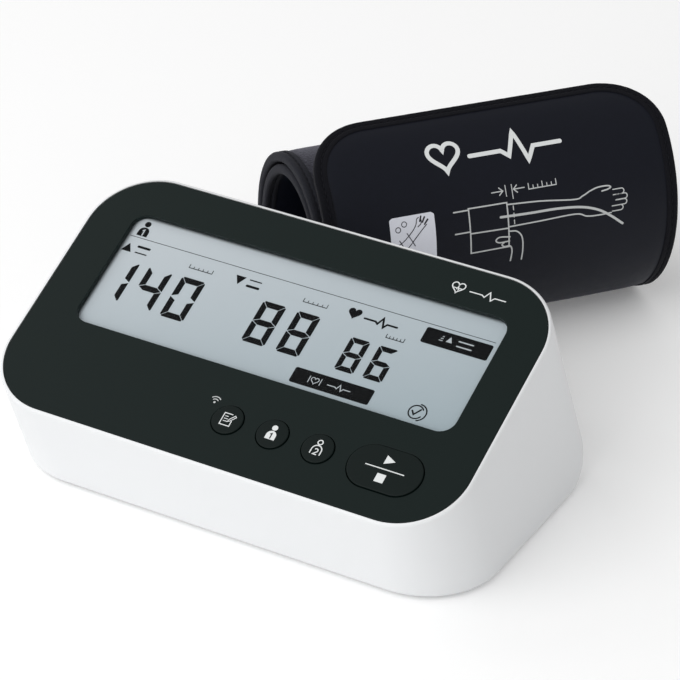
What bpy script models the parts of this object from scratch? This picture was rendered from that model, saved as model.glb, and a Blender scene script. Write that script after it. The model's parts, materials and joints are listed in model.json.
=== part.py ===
"""Upper arm blood pressure monitor with its rolled cuff, as separate pieces at rest.

Run with: blender --background --python part.py
Sizes are in millimetres and become metres through MM. X is the width, +Y the rear and +Z up.
The monitor stands on its feet at z = 0, and the cuff lies on the same floor behind it.
"""

import math

import bmesh
import bpy
from mathutils import Euler, Matrix, Vector

MM = 0.001
FIT = 0.3  # clearance between pieces that touch on the real object

# Housing: an outline at the floor and a larger, tilted one that holds the front panel.
FOOT_HEIGHT = 1.2
WIDTH = 191.0
BASE_LENGTH = 110.1
BASE_FRONT_RADIUS = 28.7
BASE_REAR_RADIUS = 10.8
EDGE_FILLET = 1.9
REAR_FILLET = 18.4
WALL = 2.4
OPENING_LIP = 2.0

# Front panel, measured along its own slope.
PANEL_LENGTH = 105.7
PANEL_SIDE_INSET = 2.5
PANEL_CORNER = 24.6
PANEL_TILT = math.radians(25.9)
PANEL_FRONT_HEIGHT = 38.4
PANEL_OVERHANG = 13.1
PANEL_THICKNESS = 2.0
RIM_WIDTH = 1.5
RIM_DROP = 1.2
LEDGE_WIDTH = 3.0
LEDGE_THICKNESS = 2.0

# Display behind the window of the panel.
WINDOW_LEFT_MARGIN = 16.8
WINDOW_RIGHT_MARGIN = 15.1
WINDOW_REAR_MARGIN = 16.1
WINDOW_FRONT_MARGIN = 39.2
WINDOW_CORNER = 5.9
WINDOW_PANE = 1.2
DISPLAY_BORDER = 2.2
DISPLAY_THICKNESS = 2.6
HOLDER_WALL = 2.6
HOLDER_DEPTH = 5.6

# Buttons in a row under the window.
BUTTON_ROW_MARGIN = 18.8
BUTTON_RADIUS = 5.85
BUTTON_PITCH = 18.1
START_BUTTON_PITCH = 26.3
START_SIDE_MARGIN = 29.7
START_LENGTH = 28.0
START_WIDTH = 17.4
BUTTON_RISE = 0.5
BUTTON_FLANGE = 1.1
FLANGE_THICKNESS = 1.0
STEM_RADIUS = 2.0

# Main board and what it carries.
BOARD_DEPTH = 8.2
BOARD_THICKNESS = 1.6
BOARD_MARGIN = 5.2
BOARD_CORNER = 19.0
SWITCH_SIDE = 7.0
SWITCH_HEIGHT = 2.9
PLUNGER_RADIUS = 1.7
PLUNGER_RISE = 0.8
PLUNGER_LENGTH = 2.2

# Battery bay for four AA cells side by side.
CELL_RADIUS = 7.25
CELL_LENGTH = 49.5
CELL_NUB = 1.0
CELL_GAP = 0.6
CELL_COUNT = 4
CONTACT_THICKNESS = 0.5
SPRING_LENGTH = 5.2
SPRING_WIRE = 0.45
SPRING_TURNS = 3
BAY_WALL = 1.8
BAY_FRONT_MARGIN = 6.0
COVER_THICKNESS = 2.0

# Fasteners and feet.
BOSS_SIDE_MARGIN = 9.5
BOSS_FRONT_MARGIN = 29.0
BOSS_REAR_MARGIN = 31.0
BOSS_RADIUS = 4.2
BOSS_HEIGHT = 22.0
SCREW_RADIUS = 1.5
SCREW_HEAD_RADIUS = 2.9
SCREW_HEAD = 2.0
SCREW_LENGTH = 13.0
FOOT_RADIUS = 5.5
FOOT_SEAT = 1.0
FOOT_SIDE_MARGIN = 20.5
FOOT_FRONT_MARGIN = 14.0
FOOT_REAR_MARGIN = 35.0

# Air system and power socket.
AIR_LEVEL = 27.0
PUMP_SIDE_MARGIN = 38.0
PUMP_FRONT_MARGIN = 12.0
SADDLE_SPACING = 22.0
SADDLE_THICKNESS = 5.0
MOTOR_RADIUS = 12.0
MOTOR_LENGTH = 36.0
PUMP_HEAD = (25.0, 22.0, 25.0)
VALVE_REAR_MARGIN = 26.0
VALVE_SIZE = (18.0, 13.0, 20.0)
MANIFOLD_SIZE = (26.0, 9.0, 8.0)
NIPPLE_RADIUS = 2.2
NIPPLE_LENGTH = 5.0
HOSE_RADIUS = 3.0
STRAIGHT_END = 1.0
JACK_Y = 4.0
JACK_RADIUS = 7.0
JACK_BORE = 4.2
JACK_DEPTH = 12.0
JACK_LENGTH = 15.0
SOCKET_SIDE_MARGIN = 40.0
SOCKET_LEVEL = 26.0
SOCKET_RADIUS = 5.5
SOCKET_BORE = 3.0
SOCKET_PIN = 0.9
SOCKET_DEPTH = 9.0
SOCKET_LENGTH = 15.0

# Cuff: a padded strip rolled up as a spiral, with the free end standing off as a flap.
CUFF_WIDTH = 145.0
CUFF_CENTRE_X = -5.0
CUFF_BEHIND = 80.4
CUFF_YAW = math.radians(50.8)
CUFF_THICKNESS = 4.2
CUFF_PITCH = 4.9
CUFF_RADIUS = 40.6
CUFF_TURNS = 2.05
CUFF_CORNER = 25.0
BINDING_WIDTH = 3.0
FLAP_START = math.radians(-48.0)
FLAP_RADIUS = 48.8
FLAP_LENGTH = 104.5
HINGE_GAP = 0.4
FABRIC = 0.9
BLADDER_THICKNESS = 1.0
CURLER_THICKNESS = 0.7
BLADDER_MARGIN = 7.0
CURLER_MARGIN = 9.0
PORT_RADIUS = 3.4
PORT_BORE = 2.1
PORT_LENGTH = 12.0
STRIP_STEP = math.radians(12.0)

# What the sizes above make.
PANEL_HALF_WIDTH = WIDTH / 2 - PANEL_SIDE_INSET
PANEL_HALF_LENGTH = PANEL_LENGTH / 2
PANEL_SLOPE = (math.cos(PANEL_TILT), math.sin(PANEL_TILT))
PANEL_FRONT_Y = -BASE_LENGTH / 2 - PANEL_OVERHANG
PANEL_CENTRE = (
    0.0,
    PANEL_FRONT_Y + PANEL_HALF_LENGTH * PANEL_SLOPE[0],
    PANEL_FRONT_HEIGHT + PANEL_HALF_LENGTH * PANEL_SLOPE[1],
)
WINDOW_WIDTH = 2 * PANEL_HALF_WIDTH - WINDOW_LEFT_MARGIN - WINDOW_RIGHT_MARGIN
WINDOW_LENGTH = PANEL_LENGTH - WINDOW_REAR_MARGIN - WINDOW_FRONT_MARGIN
WINDOW_OFFSET = (
    (WINDOW_LEFT_MARGIN - WINDOW_RIGHT_MARGIN) / 2,
    (WINDOW_FRONT_MARGIN - WINDOW_REAR_MARGIN) / 2,
)
ROUND_BUTTONS = ("memory", "user_1", "user_2")
BUTTON_ROW = BUTTON_ROW_MARGIN - PANEL_HALF_LENGTH
START_X = PANEL_HALF_WIDTH - START_SIDE_MARGIN
FIRST_BUTTON = START_X - START_BUTTON_PITCH - 2 * BUTTON_PITCH
BOARD_HALF = (PANEL_HALF_WIDTH - BOARD_MARGIN, PANEL_HALF_LENGTH - BOARD_MARGIN)
CELL_PITCH = 2 * CELL_RADIUS + CELL_GAP
BAY_WIDTH = CELL_COUNT * CELL_PITCH + 2 * CELL_GAP
BAY_LENGTH = CELL_LENGTH + CELL_NUB + SPRING_LENGTH + 2 * CONTACT_THICKNESS + 4 * FIT
BAY_CENTRE = (
    -WIDTH / 2 + FOOT_SIDE_MARGIN + FOOT_RADIUS + 2.0 + BAY_WALL + BAY_WIDTH / 2,
    -BASE_LENGTH / 2 + EDGE_FILLET + OPENING_LIP + BAY_FRONT_MARGIN + BAY_WALL + BAY_LENGTH / 2,
)
VALVE_CENTRE = (BAY_CENTRE[0], BASE_LENGTH / 2 - VALVE_REAR_MARGIN)
PUMP_X = WIDTH / 2 - PUMP_SIDE_MARGIN
MOTOR_Y = -BASE_LENGTH / 2 + PUMP_FRONT_MARGIN + MOTOR_LENGTH / 2
PUMP_HEAD_Y = MOTOR_Y + MOTOR_LENGTH / 2 + FIT + PUMP_HEAD[1] / 2
SENSOR_PLACE = (VALVE_CENTRE[0], BOARD_HALF[1] - 8.0)
CELL_LEVEL = COVER_THICKNESS + 2 * FIT + CELL_RADIUS
BAY_HEIGHT = CELL_LEVEL + CELL_RADIUS + FIT
SWITCH_TOP = -BOARD_DEPTH + FIT + SWITCH_HEIGHT
CORNER_STEPS = 6


def clear_scene():
    for item in list(bpy.data.objects):
        bpy.data.objects.remove(item)


def make_material(name, colour, roughness, metallic=0.0):
    material = bpy.data.materials.new(name)
    material.use_nodes = True
    shader = material.node_tree.nodes["Principled BSDF"]
    shader.inputs["Base Color"].default_value = (*colour, 1.0)
    shader.inputs["Roughness"].default_value = roughness
    shader.inputs["Metallic"].default_value = metallic
    material.diffuse_color = (*colour, 1.0)
    return material


def make_empty(name, parent=None, location=(0.0, 0.0, 0.0), rotation=(0.0, 0.0, 0.0)):
    empty = bpy.data.objects.new(name, None)
    bpy.context.scene.collection.objects.link(empty)
    empty.parent = parent
    empty.location = Vector(location) * MM
    empty.rotation_euler = Euler(rotation)
    return empty


def make_piece(name, mesh, material, parent, location=(0.0, 0.0, 0.0), rotation=(0.0, 0.0, 0.0)):
    """An object from a bmesh in millimetres, placed in millimetres under its parent."""
    bmesh.ops.scale(mesh, vec=(MM, MM, MM), verts=mesh.verts)
    bmesh.ops.recalc_face_normals(mesh, faces=mesh.faces)
    data = bpy.data.meshes.new(name)
    mesh.to_mesh(data)
    mesh.free()
    piece = bpy.data.objects.new(name, data)
    bpy.context.scene.collection.objects.link(piece)
    if material:
        data.materials.append(material)
    piece.parent = parent
    piece.location = Vector(location) * MM
    piece.rotation_euler = Euler(rotation)
    return piece


def boolean(piece, tool, operation="DIFFERENCE"):
    """A cut or a union whose tool stays in the scene, hidden from renders."""
    tool.hide_render = True
    tool.display_type = "WIRE"
    modifier = piece.modifiers.new(tool.name, "BOOLEAN")
    modifier.operation = operation
    modifier.object = tool


def rounded_outline(half_x, half_y, front_radius, rear_radius=None, steps=CORNER_STEPS):
    """Points of a rounded rectangle, anticlockwise from the rear right corner."""
    rear_radius = front_radius if rear_radius is None else rear_radius
    corners = (
        (half_x - rear_radius, half_y - rear_radius, rear_radius),
        (rear_radius - half_x, half_y - rear_radius, rear_radius),
        (front_radius - half_x, front_radius - half_y, front_radius),
        (half_x - front_radius, front_radius - half_y, front_radius),
    )
    points = []
    for quarter, (x, y, radius) in enumerate(corners):
        for step in range(steps + 1):
            angle = math.pi / 2 * (quarter + step / steps)
            points.append((x + radius * math.cos(angle), y + radius * math.sin(angle)))
    return points


def prism_mesh(outline, bottom, top):
    """The outline as a face at the bottom, extruded to the top."""
    mesh = bmesh.new()
    face = mesh.faces.new([mesh.verts.new((x, y, bottom)) for x, y in outline])
    lifted = bmesh.ops.extrude_face_region(mesh, geom=[face])["geom"]
    corners = [item for item in lifted if isinstance(item, bmesh.types.BMVert)]
    bmesh.ops.translate(mesh, vec=(0.0, 0.0, top - bottom), verts=corners)
    return mesh


def box_mesh(size, centre=(0.0, 0.0, 0.0)):
    mesh = bmesh.new()
    bmesh.ops.create_cube(mesh, size=1.0)
    bmesh.ops.scale(mesh, vec=size, verts=mesh.verts)
    bmesh.ops.translate(mesh, vec=centre, verts=mesh.verts)
    return mesh


def turned_mesh(profile, segments):
    """A closed (radius, height) profile that starts and ends on the axis, spun about Z."""
    mesh = bmesh.new()
    verts = [mesh.verts.new((radius, 0.0, height)) for radius, height in profile]
    edges = [mesh.edges.new(pair) for pair in zip(verts, verts[1:])]
    bmesh.ops.spin(
        mesh,
        geom=verts + edges,
        cent=(0.0, 0.0, 0.0),
        axis=(0.0, 0.0, 1.0),
        angle=2 * math.pi,
        steps=segments,
        use_merge=True,
        use_duplicate=False,
    )
    bmesh.ops.remove_doubles(mesh, verts=mesh.verts, dist=1e-3)
    return mesh


def disc_mesh(radius, bottom, top, segments=16):
    return turned_mesh([(0.0, bottom), (radius, bottom), (radius, top), (0.0, top)], segments)


def bridged_mesh(rings, closed=False):
    """Skins rings that hold the same number of points. The ends are capped unless closed."""
    mesh = bmesh.new()
    loops = []
    for ring in rings:
        loops.append([mesh.verts.new(point) for point in ring])
    pairs = list(zip(loops, loops[1:]))
    if closed:
        pairs.append((loops[-1], loops[0]))
    for lower, upper in pairs:
        count = len(lower)
        for index in range(count):
            after = (index + 1) % count
            mesh.faces.new((lower[index], lower[after], upper[after], upper[index]))
    if not closed:
        mesh.faces.new(list(reversed(loops[0])))
        mesh.faces.new(loops[-1])
    return mesh


def tube_piece(name, points, radius, material, parent, sides=2):
    """A round tube along points in millimetres, as a bevelled curve with closed ends."""
    curve = bpy.data.curves.new(name, "CURVE")
    curve.dimensions = "3D"
    curve.bevel_depth = radius * MM
    curve.bevel_resolution = sides
    curve.use_fill_caps = True
    spline = curve.splines.new("POLY")
    spline.points.add(len(points) - 1)
    for slot, point in zip(spline.points, points):
        slot.co = (*(Vector(point) * MM), 1.0)
    tube = bpy.data.objects.new(name, curve)
    bpy.context.scene.collection.objects.link(tube)
    curve.materials.append(material)
    tube.parent = parent
    return tube


def smooth_route(start, start_way, end, end_way, count=10):
    """Points of a cubic curve that leaves and arrives along the two ways."""
    ends = Vector(start), Vector(end)
    start = ends[0] + Vector(start_way) * STRAIGHT_END
    end = ends[1] - Vector(end_way) * STRAIGHT_END
    reach = 0.4 * (end - start).length
    first = start + Vector(start_way) * reach
    last = end - Vector(end_way) * reach
    route = [ends[0]]
    for step in range(count + 1):
        t = step / count
        s = 1.0 - t
        route.append(s**3 * start + 3 * s * s * t * first + 3 * s * t * t * last + t**3 * end)
    route.append(ends[1])
    return route


# Housing ---------------------------------------------------------------------


def panel_point(across, along, height):
    """A point of the tilted panel frame, in the monitor's own frame."""
    slope, rise = PANEL_SLOPE
    return Vector(
        (
            across,
            PANEL_CENTRE[1] + along * slope - height * rise,
            PANEL_CENTRE[2] + along * rise + height * slope,
        )
    )


def panel_ring(grow, height):
    radius = PANEL_CORNER + grow
    outline = rounded_outline(PANEL_HALF_WIDTH + grow, PANEL_HALF_LENGTH + grow, radius)
    return [panel_point(x, y, height) for x, y in outline]


def fillet_inset(height, radius):
    """How far a quarter round of this radius sets the wall back at this height."""
    rise = max(0.0, 1.0 - max(height, 0.0) / radius)
    return radius * (1.0 - math.sqrt(max(0.0, 1.0 - rise * rise)))


def base_outline(height, inset=0.0):
    """The housing's outline before it leans towards the panel, at a height over the underside."""
    lift = height - inset
    side = inset + fillet_inset(lift, EDGE_FILLET)
    back = inset + max(fillet_inset(lift, EDGE_FILLET), fillet_inset(lift, REAR_FILLET - inset))
    front = -BASE_LENGTH / 2 + side
    rear = BASE_LENGTH / 2 - back
    outline = rounded_outline(
        WIDTH / 2 - side, (rear - front) / 2, BASE_FRONT_RADIUS - side, BASE_REAR_RADIUS - inset
    )
    return [(x, y + (rear + front) / 2) for x, y in outline]


def wall_ring(height, top, inset=0.0):
    """The ruled wall between the base outline and a ring of the panel, cut at this height."""
    ring = []
    for (x, y), crown in zip(base_outline(height, inset), top):
        share = height / crown.z
        ring.append(Vector((x, y, 0.0)).lerp(Vector((crown.x, crown.y, 0.0)), share))
        ring[-1].z = height
    return ring


def opening_outline(clearance=0.0):
    """The opening in the housing's underside, which the base plate closes."""
    side = EDGE_FILLET + OPENING_LIP + clearance
    front = -BASE_LENGTH / 2 + side
    rear = BASE_LENGTH / 2 - REAR_FILLET - OPENING_LIP - clearance
    radius = BASE_FRONT_RADIUS - side
    outline = rounded_outline(WIDTH / 2 - side, (rear - front) / 2, radius, BASE_REAR_RADIUS - OPENING_LIP)
    return [(x, y + (rear + front) / 2) for x, y in outline]


def boss_places():
    for side in (-1, 1):
        for y in (BOSS_FRONT_MARGIN - BASE_LENGTH / 2, BASE_LENGTH / 2 - BOSS_REAR_MARGIN):
            yield side * (WIDTH / 2 - BOSS_SIDE_MARGIN), y


def make_housing(body, white):
    rim = panel_ring(RIM_WIDTH, -RIM_DROP)
    ledge = -PANEL_THICKNESS - FIT
    crown = panel_ring(RIM_WIDTH - WALL, ledge - LEDGE_THICKNESS)
    outer = [wall_ring(share * REAR_FILLET, rim) for share in (0.03, 0.1, 0.24, 0.42, 0.68, 1.0)]
    inner = [wall_ring(share * REAR_FILLET, crown, WALL) for share in (1.0, 0.68, 0.42, 0.24)]
    mouth = opening_outline()
    rings = [
        wall_ring(0.0, rim),
        *outer,
        rim,
        panel_ring(FIT, 0.0),
        panel_ring(FIT, ledge),
        panel_ring(-LEDGE_WIDTH, ledge),
        panel_ring(-LEDGE_WIDTH, ledge - LEDGE_THICKNESS),
        crown,
        *inner,
        [(x, y, WALL) for x, y in mouth],
        [(x, y, 0.0) for x, y in mouth],
    ]
    shell = make_piece("housing_shell", bridged_mesh(rings, closed=True), white, body)
    for index, (x, y) in enumerate(boss_places()):
        side = math.copysign(1.0, x)
        web = (WIDTH / 2 - abs(x) - 1.2, 2.4, BOSS_HEIGHT - BOSS_RADIUS)
        bottom = WALL + SCREW_HEAD
        boss = disc_mesh(BOSS_RADIUS, bottom, BOSS_HEIGHT)
        boss = make_piece(f"boss_{index}", boss, None, body, (x, y, 0.0))
        rib = box_mesh(web, (x + side * web[0] / 2, y, bottom + 1.0 + web[2] / 2))
        boolean(shell, make_piece(f"boss_rib_{index}", rib, None, body), "UNION")
        boolean(shell, boss, "UNION")
        bore = disc_mesh(SCREW_RADIUS + FIT, bottom - 1.0, FIT + SCREW_LENGTH + 1.0, 12)
        boolean(shell, make_piece(f"boss_bore_{index}", bore, None, body, (x, y, 0.0)))
    hole = disc_mesh(JACK_RADIUS + FIT, -9.0, 9.0, 20)
    place = (-WIDTH / 2, JACK_Y, AIR_LEVEL)
    boolean(shell, make_piece("jack_hole", hole, None, body, place, (0.0, math.pi / 2, 0.0)))
    hole = disc_mesh(SOCKET_RADIUS + FIT, -9.0, 9.0)
    place = (WIDTH / 2 - SOCKET_SIDE_MARGIN, rear_wall_y(SOCKET_LEVEL), SOCKET_LEVEL)
    boolean(shell, make_piece("socket_hole", hole, None, body, place, (math.pi / 2, 0.0, 0.0)))
    return shell


def rear_wall_y(height):
    """Where the flat rear wall is at this height, in the monitor's own frame."""
    rim = panel_point(0.0, PANEL_HALF_LENGTH + RIM_WIDTH, -RIM_DROP)
    share = height / rim.z
    return BASE_LENGTH / 2 * (1.0 - share) + rim.y * share


def make_base(body, white):
    plate = make_piece("base_plate", prism_mesh(opening_outline(FIT), 0.0, WALL), white, body)
    outer = (BAY_WIDTH + 2 * BAY_WALL, BAY_LENGTH + 2 * BAY_WALL, BAY_HEIGHT + BAY_WALL - 0.2)
    shell = box_mesh(outer, (0.0, 0.0, 0.2 + outer[2] / 2))
    boolean(plate, make_piece("bay_shell", shell, None, body, (*BAY_CENTRE, 0.0)), "UNION")
    for side in (-1, 1):
        saddle = (1.6 * MOTOR_RADIUS, SADDLE_THICKNESS, motor_level() - 0.5 * MOTOR_RADIUS)
        centre = (PUMP_X, MOTOR_Y + side * SADDLE_SPACING / 2, 1.0 + saddle[2] / 2)
        tool = make_piece(f"pump_saddle_{side}", box_mesh(saddle, centre), None, body)
        boolean(plate, tool, "UNION")
    motor = disc_mesh(MOTOR_RADIUS + FIT, -30.0, 30.0, 24)
    place = (PUMP_X, MOTOR_Y, motor_level())
    boolean(plate, make_piece("motor_seat", motor, None, body, place, (math.pi / 2, 0.0, 0.0)))
    cavity = box_mesh((BAY_WIDTH, BAY_LENGTH, BAY_HEIGHT + 1.0), (0.0, 0.0, BAY_HEIGHT / 2 - 0.5))
    boolean(plate, make_piece("bay_cavity", cavity, None, body, (*BAY_CENTRE, 0.0)))
    for index, (x, y) in enumerate(boss_places()):
        bore = [(0.0, -1.0), (SCREW_HEAD_RADIUS + FIT, -1.0), (SCREW_HEAD_RADIUS + FIT, WALL - 0.6)]
        bore += [(SCREW_RADIUS + FIT, WALL - 0.6), (SCREW_RADIUS + FIT, WALL + 1.0), (0.0, WALL + 1.0)]
        boolean(plate, make_piece(f"screw_hole_{index}", turned_mesh(bore, 12), None, body, (x, y, 0.0)))
    for index, (x, y) in enumerate(foot_places()):
        seat = disc_mesh(FOOT_RADIUS + FIT, -1.0, FOOT_SEAT + FIT)
        boolean(plate, make_piece(f"foot_seat_{index}", seat, None, body, (x, y, 0.0)))


def foot_places():
    for side in (-1, 1):
        for y in (FOOT_FRONT_MARGIN - BASE_LENGTH / 2, BASE_LENGTH / 2 - FOOT_REAR_MARGIN):
            yield side * (WIDTH / 2 - FOOT_SIDE_MARGIN), y


def make_feet_and_screws(body, rubber, steel):
    for index, (x, y) in enumerate(foot_places()):
        edge = 0.4
        profile = [(0.0, -FOOT_HEIGHT), (FOOT_RADIUS - edge, -FOOT_HEIGHT)]
        profile += [(FOOT_RADIUS, edge - FOOT_HEIGHT), (FOOT_RADIUS, FOOT_SEAT), (0.0, FOOT_SEAT)]
        make_piece(f"foot_{index + 1}", turned_mesh(profile, 16), rubber, body, (x, y, 0.0))
    for index, (x, y) in enumerate(boss_places()):
        head = WALL - 0.6 - FIT
        profile = [(0.0, head - SCREW_HEAD + 0.4), (SCREW_HEAD_RADIUS, head - SCREW_HEAD + 0.4)]
        profile += [(SCREW_HEAD_RADIUS, head), (SCREW_RADIUS, head)]
        profile += [(SCREW_RADIUS, SCREW_LENGTH - 1.0), (0.0, SCREW_LENGTH)]
        make_piece(f"case_screw_{index + 1}", turned_mesh(profile, 12), steel, body, (x, y, 0.0))


# Front panel, display and board ----------------------------------------------


def make_front(panel, dark, clear, grey, white):
    outline = rounded_outline(PANEL_HALF_WIDTH, PANEL_HALF_LENGTH, PANEL_CORNER)
    front = make_piece("front_panel", prism_mesh(outline, -PANEL_THICKNESS, 0.0), dark, panel)
    hole = rounded_outline(WINDOW_WIDTH / 2, WINDOW_LENGTH / 2, WINDOW_CORNER, steps=4)
    place = (*WINDOW_OFFSET, 0.0)
    boolean(front, make_piece("window_hole", prism_mesh(hole, -3.0, 1.0), None, panel, place))
    for name, x in zip(ROUND_BUTTONS, button_places()):
        hole = disc_mesh(BUTTON_RADIUS + FIT, -3.0, 1.0, 24)
        boolean(front, make_piece(f"hole_{name}", hole, None, panel, (x, BUTTON_ROW, 0.0)))
    hole = prism_mesh(stadium(FIT), -3.0, 1.0)
    boolean(front, make_piece("hole_start", hole, None, panel, (START_X, BUTTON_ROW, 0.0)))

    pane = rounded_outline(WINDOW_WIDTH / 2 - FIT, WINDOW_LENGTH / 2 - FIT, WINDOW_CORNER - FIT, steps=4)
    top = -(PANEL_THICKNESS - WINDOW_PANE) / 2
    make_piece("display_window", prism_mesh(pane, top - WINDOW_PANE, top), clear, panel, place)

    size = (WINDOW_WIDTH + 2 * DISPLAY_BORDER, WINDOW_LENGTH + 2 * DISPLAY_BORDER, DISPLAY_THICKNESS)
    top = -PANEL_THICKNESS - FIT
    middle = (0.0, 0.0, top - DISPLAY_THICKNESS / 2)
    make_piece("lcd_module", box_mesh(size, middle), grey, panel, place)
    outer = (size[0] + 2 * HOLDER_WALL, size[1] + 2 * HOLDER_WALL, HOLDER_DEPTH)
    holder = box_mesh(outer, (0.0, 0.0, top - HOLDER_DEPTH / 2))
    holder = make_piece("lcd_holder", holder, white, panel, place)
    pocket = (size[0] + 2 * FIT, size[1] + 2 * FIT, DISPLAY_THICKNESS + FIT + 1.0)
    pocket = box_mesh(pocket, (0.0, 0.0, top + 1.0 - pocket[2] / 2))
    boolean(holder, make_piece("lcd_pocket", pocket, None, panel, place))


def button_places():
    return [FIRST_BUTTON + index * BUTTON_PITCH for index in range(len(ROUND_BUTTONS))]


def stadium(grow=0.0):
    radius = START_WIDTH / 2 + grow
    return rounded_outline(START_LENGTH / 2 + grow, radius, radius - 0.01)


def button_levels():
    """Top, flange top, flange bottom and stem end of a button, from the panel's face."""
    flange = -PANEL_THICKNESS - FIT
    stem = SWITCH_TOP + PLUNGER_RISE + FIT
    return BUTTON_RISE, flange, flange - FLANGE_THICKNESS, stem


def make_buttons(panel, dark, black, steel):
    top, flange, under, stem = button_levels()
    edge = 0.5
    for name, x in zip(ROUND_BUTTONS, button_places()):
        profile = [(0.0, stem), (STEM_RADIUS, stem), (STEM_RADIUS, under)]
        profile += [(BUTTON_RADIUS + BUTTON_FLANGE, under), (BUTTON_RADIUS + BUTTON_FLANGE, flange)]
        profile += [(BUTTON_RADIUS, flange), (BUTTON_RADIUS, top - edge), (BUTTON_RADIUS - edge, top)]
        profile += [(0.0, top)]
        make_piece(f"{name}_button", turned_mesh(profile, 24), dark, panel, (x, BUTTON_ROW, 0.0))
        make_switch(name, x, panel, black, steel)
    steps = [(BUTTON_FLANGE, under), (BUTTON_FLANGE, flange), (0.0, flange)]
    steps += [(0.0, top - edge), (-edge, top)]
    rings = [[(x, y, level) for x, y in stadium(grow)] for grow, level in steps]
    place = (START_X, BUTTON_ROW, 0.0)
    start = make_piece("start_stop_button", bridged_mesh(rings), dark, panel, place)
    foot = disc_mesh(STEM_RADIUS, stem, under + 0.5)
    boolean(start, make_piece("start_stem", foot, None, panel, place), "UNION")
    make_switch("start_stop", START_X, panel, black, steel)


def make_switch(name, x, panel, black, steel):
    """A push switch on the board with the plunger that the button presses."""
    bottom = SWITCH_TOP - SWITCH_HEIGHT
    side = SWITCH_SIDE
    case = box_mesh((side, side, SWITCH_HEIGHT), (0.0, 0.0, bottom + SWITCH_HEIGHT / 2))
    case = make_piece(f"{name}_switch", case, steel, panel, (x, BUTTON_ROW, 0.0))
    bore = disc_mesh(PLUNGER_RADIUS + FIT, bottom + 0.5, SWITCH_TOP + 1.0)
    boolean(case, make_piece(f"{name}_bore", bore, None, panel, (x, BUTTON_ROW, 0.0)))
    top = SWITCH_TOP + PLUNGER_RISE
    plunger = disc_mesh(PLUNGER_RADIUS, top - PLUNGER_LENGTH, top, 12)
    make_piece(f"{name}_plunger", plunger, black, panel, (x, BUTTON_ROW, 0.0))


def make_board(panel, green, black, steel):
    outline = rounded_outline(*BOARD_HALF, BOARD_CORNER, steps=4)
    top = -BOARD_DEPTH
    under = top - BOARD_THICKNESS
    make_piece("main_board", prism_mesh(outline, under, top), green, panel)
    parts = (
        ("controller_chip", (14.0, 14.0, 1.6), (20.0, -8.0), black),
        ("wireless_module", (12.0, 18.0, 2.4), (BOARD_HALF[0] - 24.0, BOARD_HALF[1] - 18.0), steel),
    )
    for name, size, (x, y), material in parts:
        middle = (x, y, under - FIT - size[2] / 2)
        make_piece(name, box_mesh(size, middle), material, panel)
    buzzer = disc_mesh(6.0, under - FIT - 4.0, under - FIT)
    make_piece("buzzer", buzzer, black, panel, (-64.0, -28.0, 0.0))
    low = under - FIT - 4.0
    profile = [(0.0, low - NIPPLE_LENGTH), (NIPPLE_RADIUS, low - NIPPLE_LENGTH), (NIPPLE_RADIUS, low)]
    profile += [(5.5, low), (5.5, under - FIT), (0.0, under - FIT)]
    sensor = turned_mesh(profile, 16)
    make_piece("pressure_sensor", sensor, black, panel, (*SENSOR_PLACE, 0.0))


# Batteries -------------------------------------------------------------------


def make_batteries(body, jacket, steel):
    half = BAY_LENGTH / 2
    for index in range(CELL_COUNT):
        x = BAY_CENTRE[0] + (index - (CELL_COUNT - 1) / 2) * CELL_PITCH
        way = 1.0 if index % 2 else -1.0
        turn = (-way * math.pi / 2, 0.0, 0.0)
        tip = half - CONTACT_THICKNESS - 2 * FIT
        place = (x, BAY_CENTRE[1] + way * tip, CELL_LEVEL)
        profile = [(0.0, -CELL_LENGTH - CELL_NUB), (CELL_RADIUS, -CELL_LENGTH - CELL_NUB)]
        profile += [(CELL_RADIUS, -CELL_NUB), (2.6, -CELL_NUB), (2.6, 0.0), (0.0, 0.0)]
        make_piece(f"cell_{index + 1}", turned_mesh(profile, 16), jacket, body, place, turn)
        points = spring_points(SPRING_LENGTH - 2 * SPRING_WIRE - 2 * FIT)
        seat = -(half - CONTACT_THICKNESS - 2 * FIT - SPRING_WIRE)
        spring = tube_piece(f"contact_spring_{index + 1}", points, SPRING_WIRE, steel, body, 1)
        spring.location = Vector((x, BAY_CENTRE[1] + way * seat, CELL_LEVEL)) * MM
        spring.rotation_euler = Euler(turn)
    for side, name in ((-1, "front_contacts"), (1, "rear_contacts")):
        size = (BAY_WIDTH - 2 * FIT, CONTACT_THICKNESS, 1.2 * CELL_RADIUS)
        place = (BAY_CENTRE[0], BAY_CENTRE[1] + side * (half - FIT - CONTACT_THICKNESS / 2), CELL_LEVEL)
        make_piece(name, box_mesh(size), steel, body, place)


def spring_points(length):
    """A tapered coil that rises along Z from the contact to the cell."""
    points = []
    steps = SPRING_TURNS * 10
    for step in range(steps + 1):
        share = step / steps
        angle = 2 * math.pi * SPRING_TURNS * share
        radius = 4.2 - 1.6 * share
        points.append((radius * math.cos(angle), radius * math.sin(angle), length * share))
    return points


def make_cover(body, white):
    """The cover swings about its front edge, so that edge carries its origin."""
    size = (BAY_WIDTH - 2 * FIT, BAY_LENGTH - 2 * FIT, COVER_THICKNESS)
    hinge = make_empty("cover_hinge", body, (BAY_CENTRE[0], BAY_CENTRE[1] - size[1] / 2, 0.0))
    plate = box_mesh(size, (0.0, size[1] / 2, COVER_THICKNESS / 2))
    cover = make_piece("battery_cover", plate, white, hinge)
    notch = disc_mesh(7.0, -1.0, 1.0)
    boolean(cover, make_piece("cover_notch", notch, None, hinge, (0.0, size[1] - 5.0, -0.2)))


# Air system ------------------------------------------------------------------


def motor_level():
    return WALL + 2.6 + MOTOR_RADIUS


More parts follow.
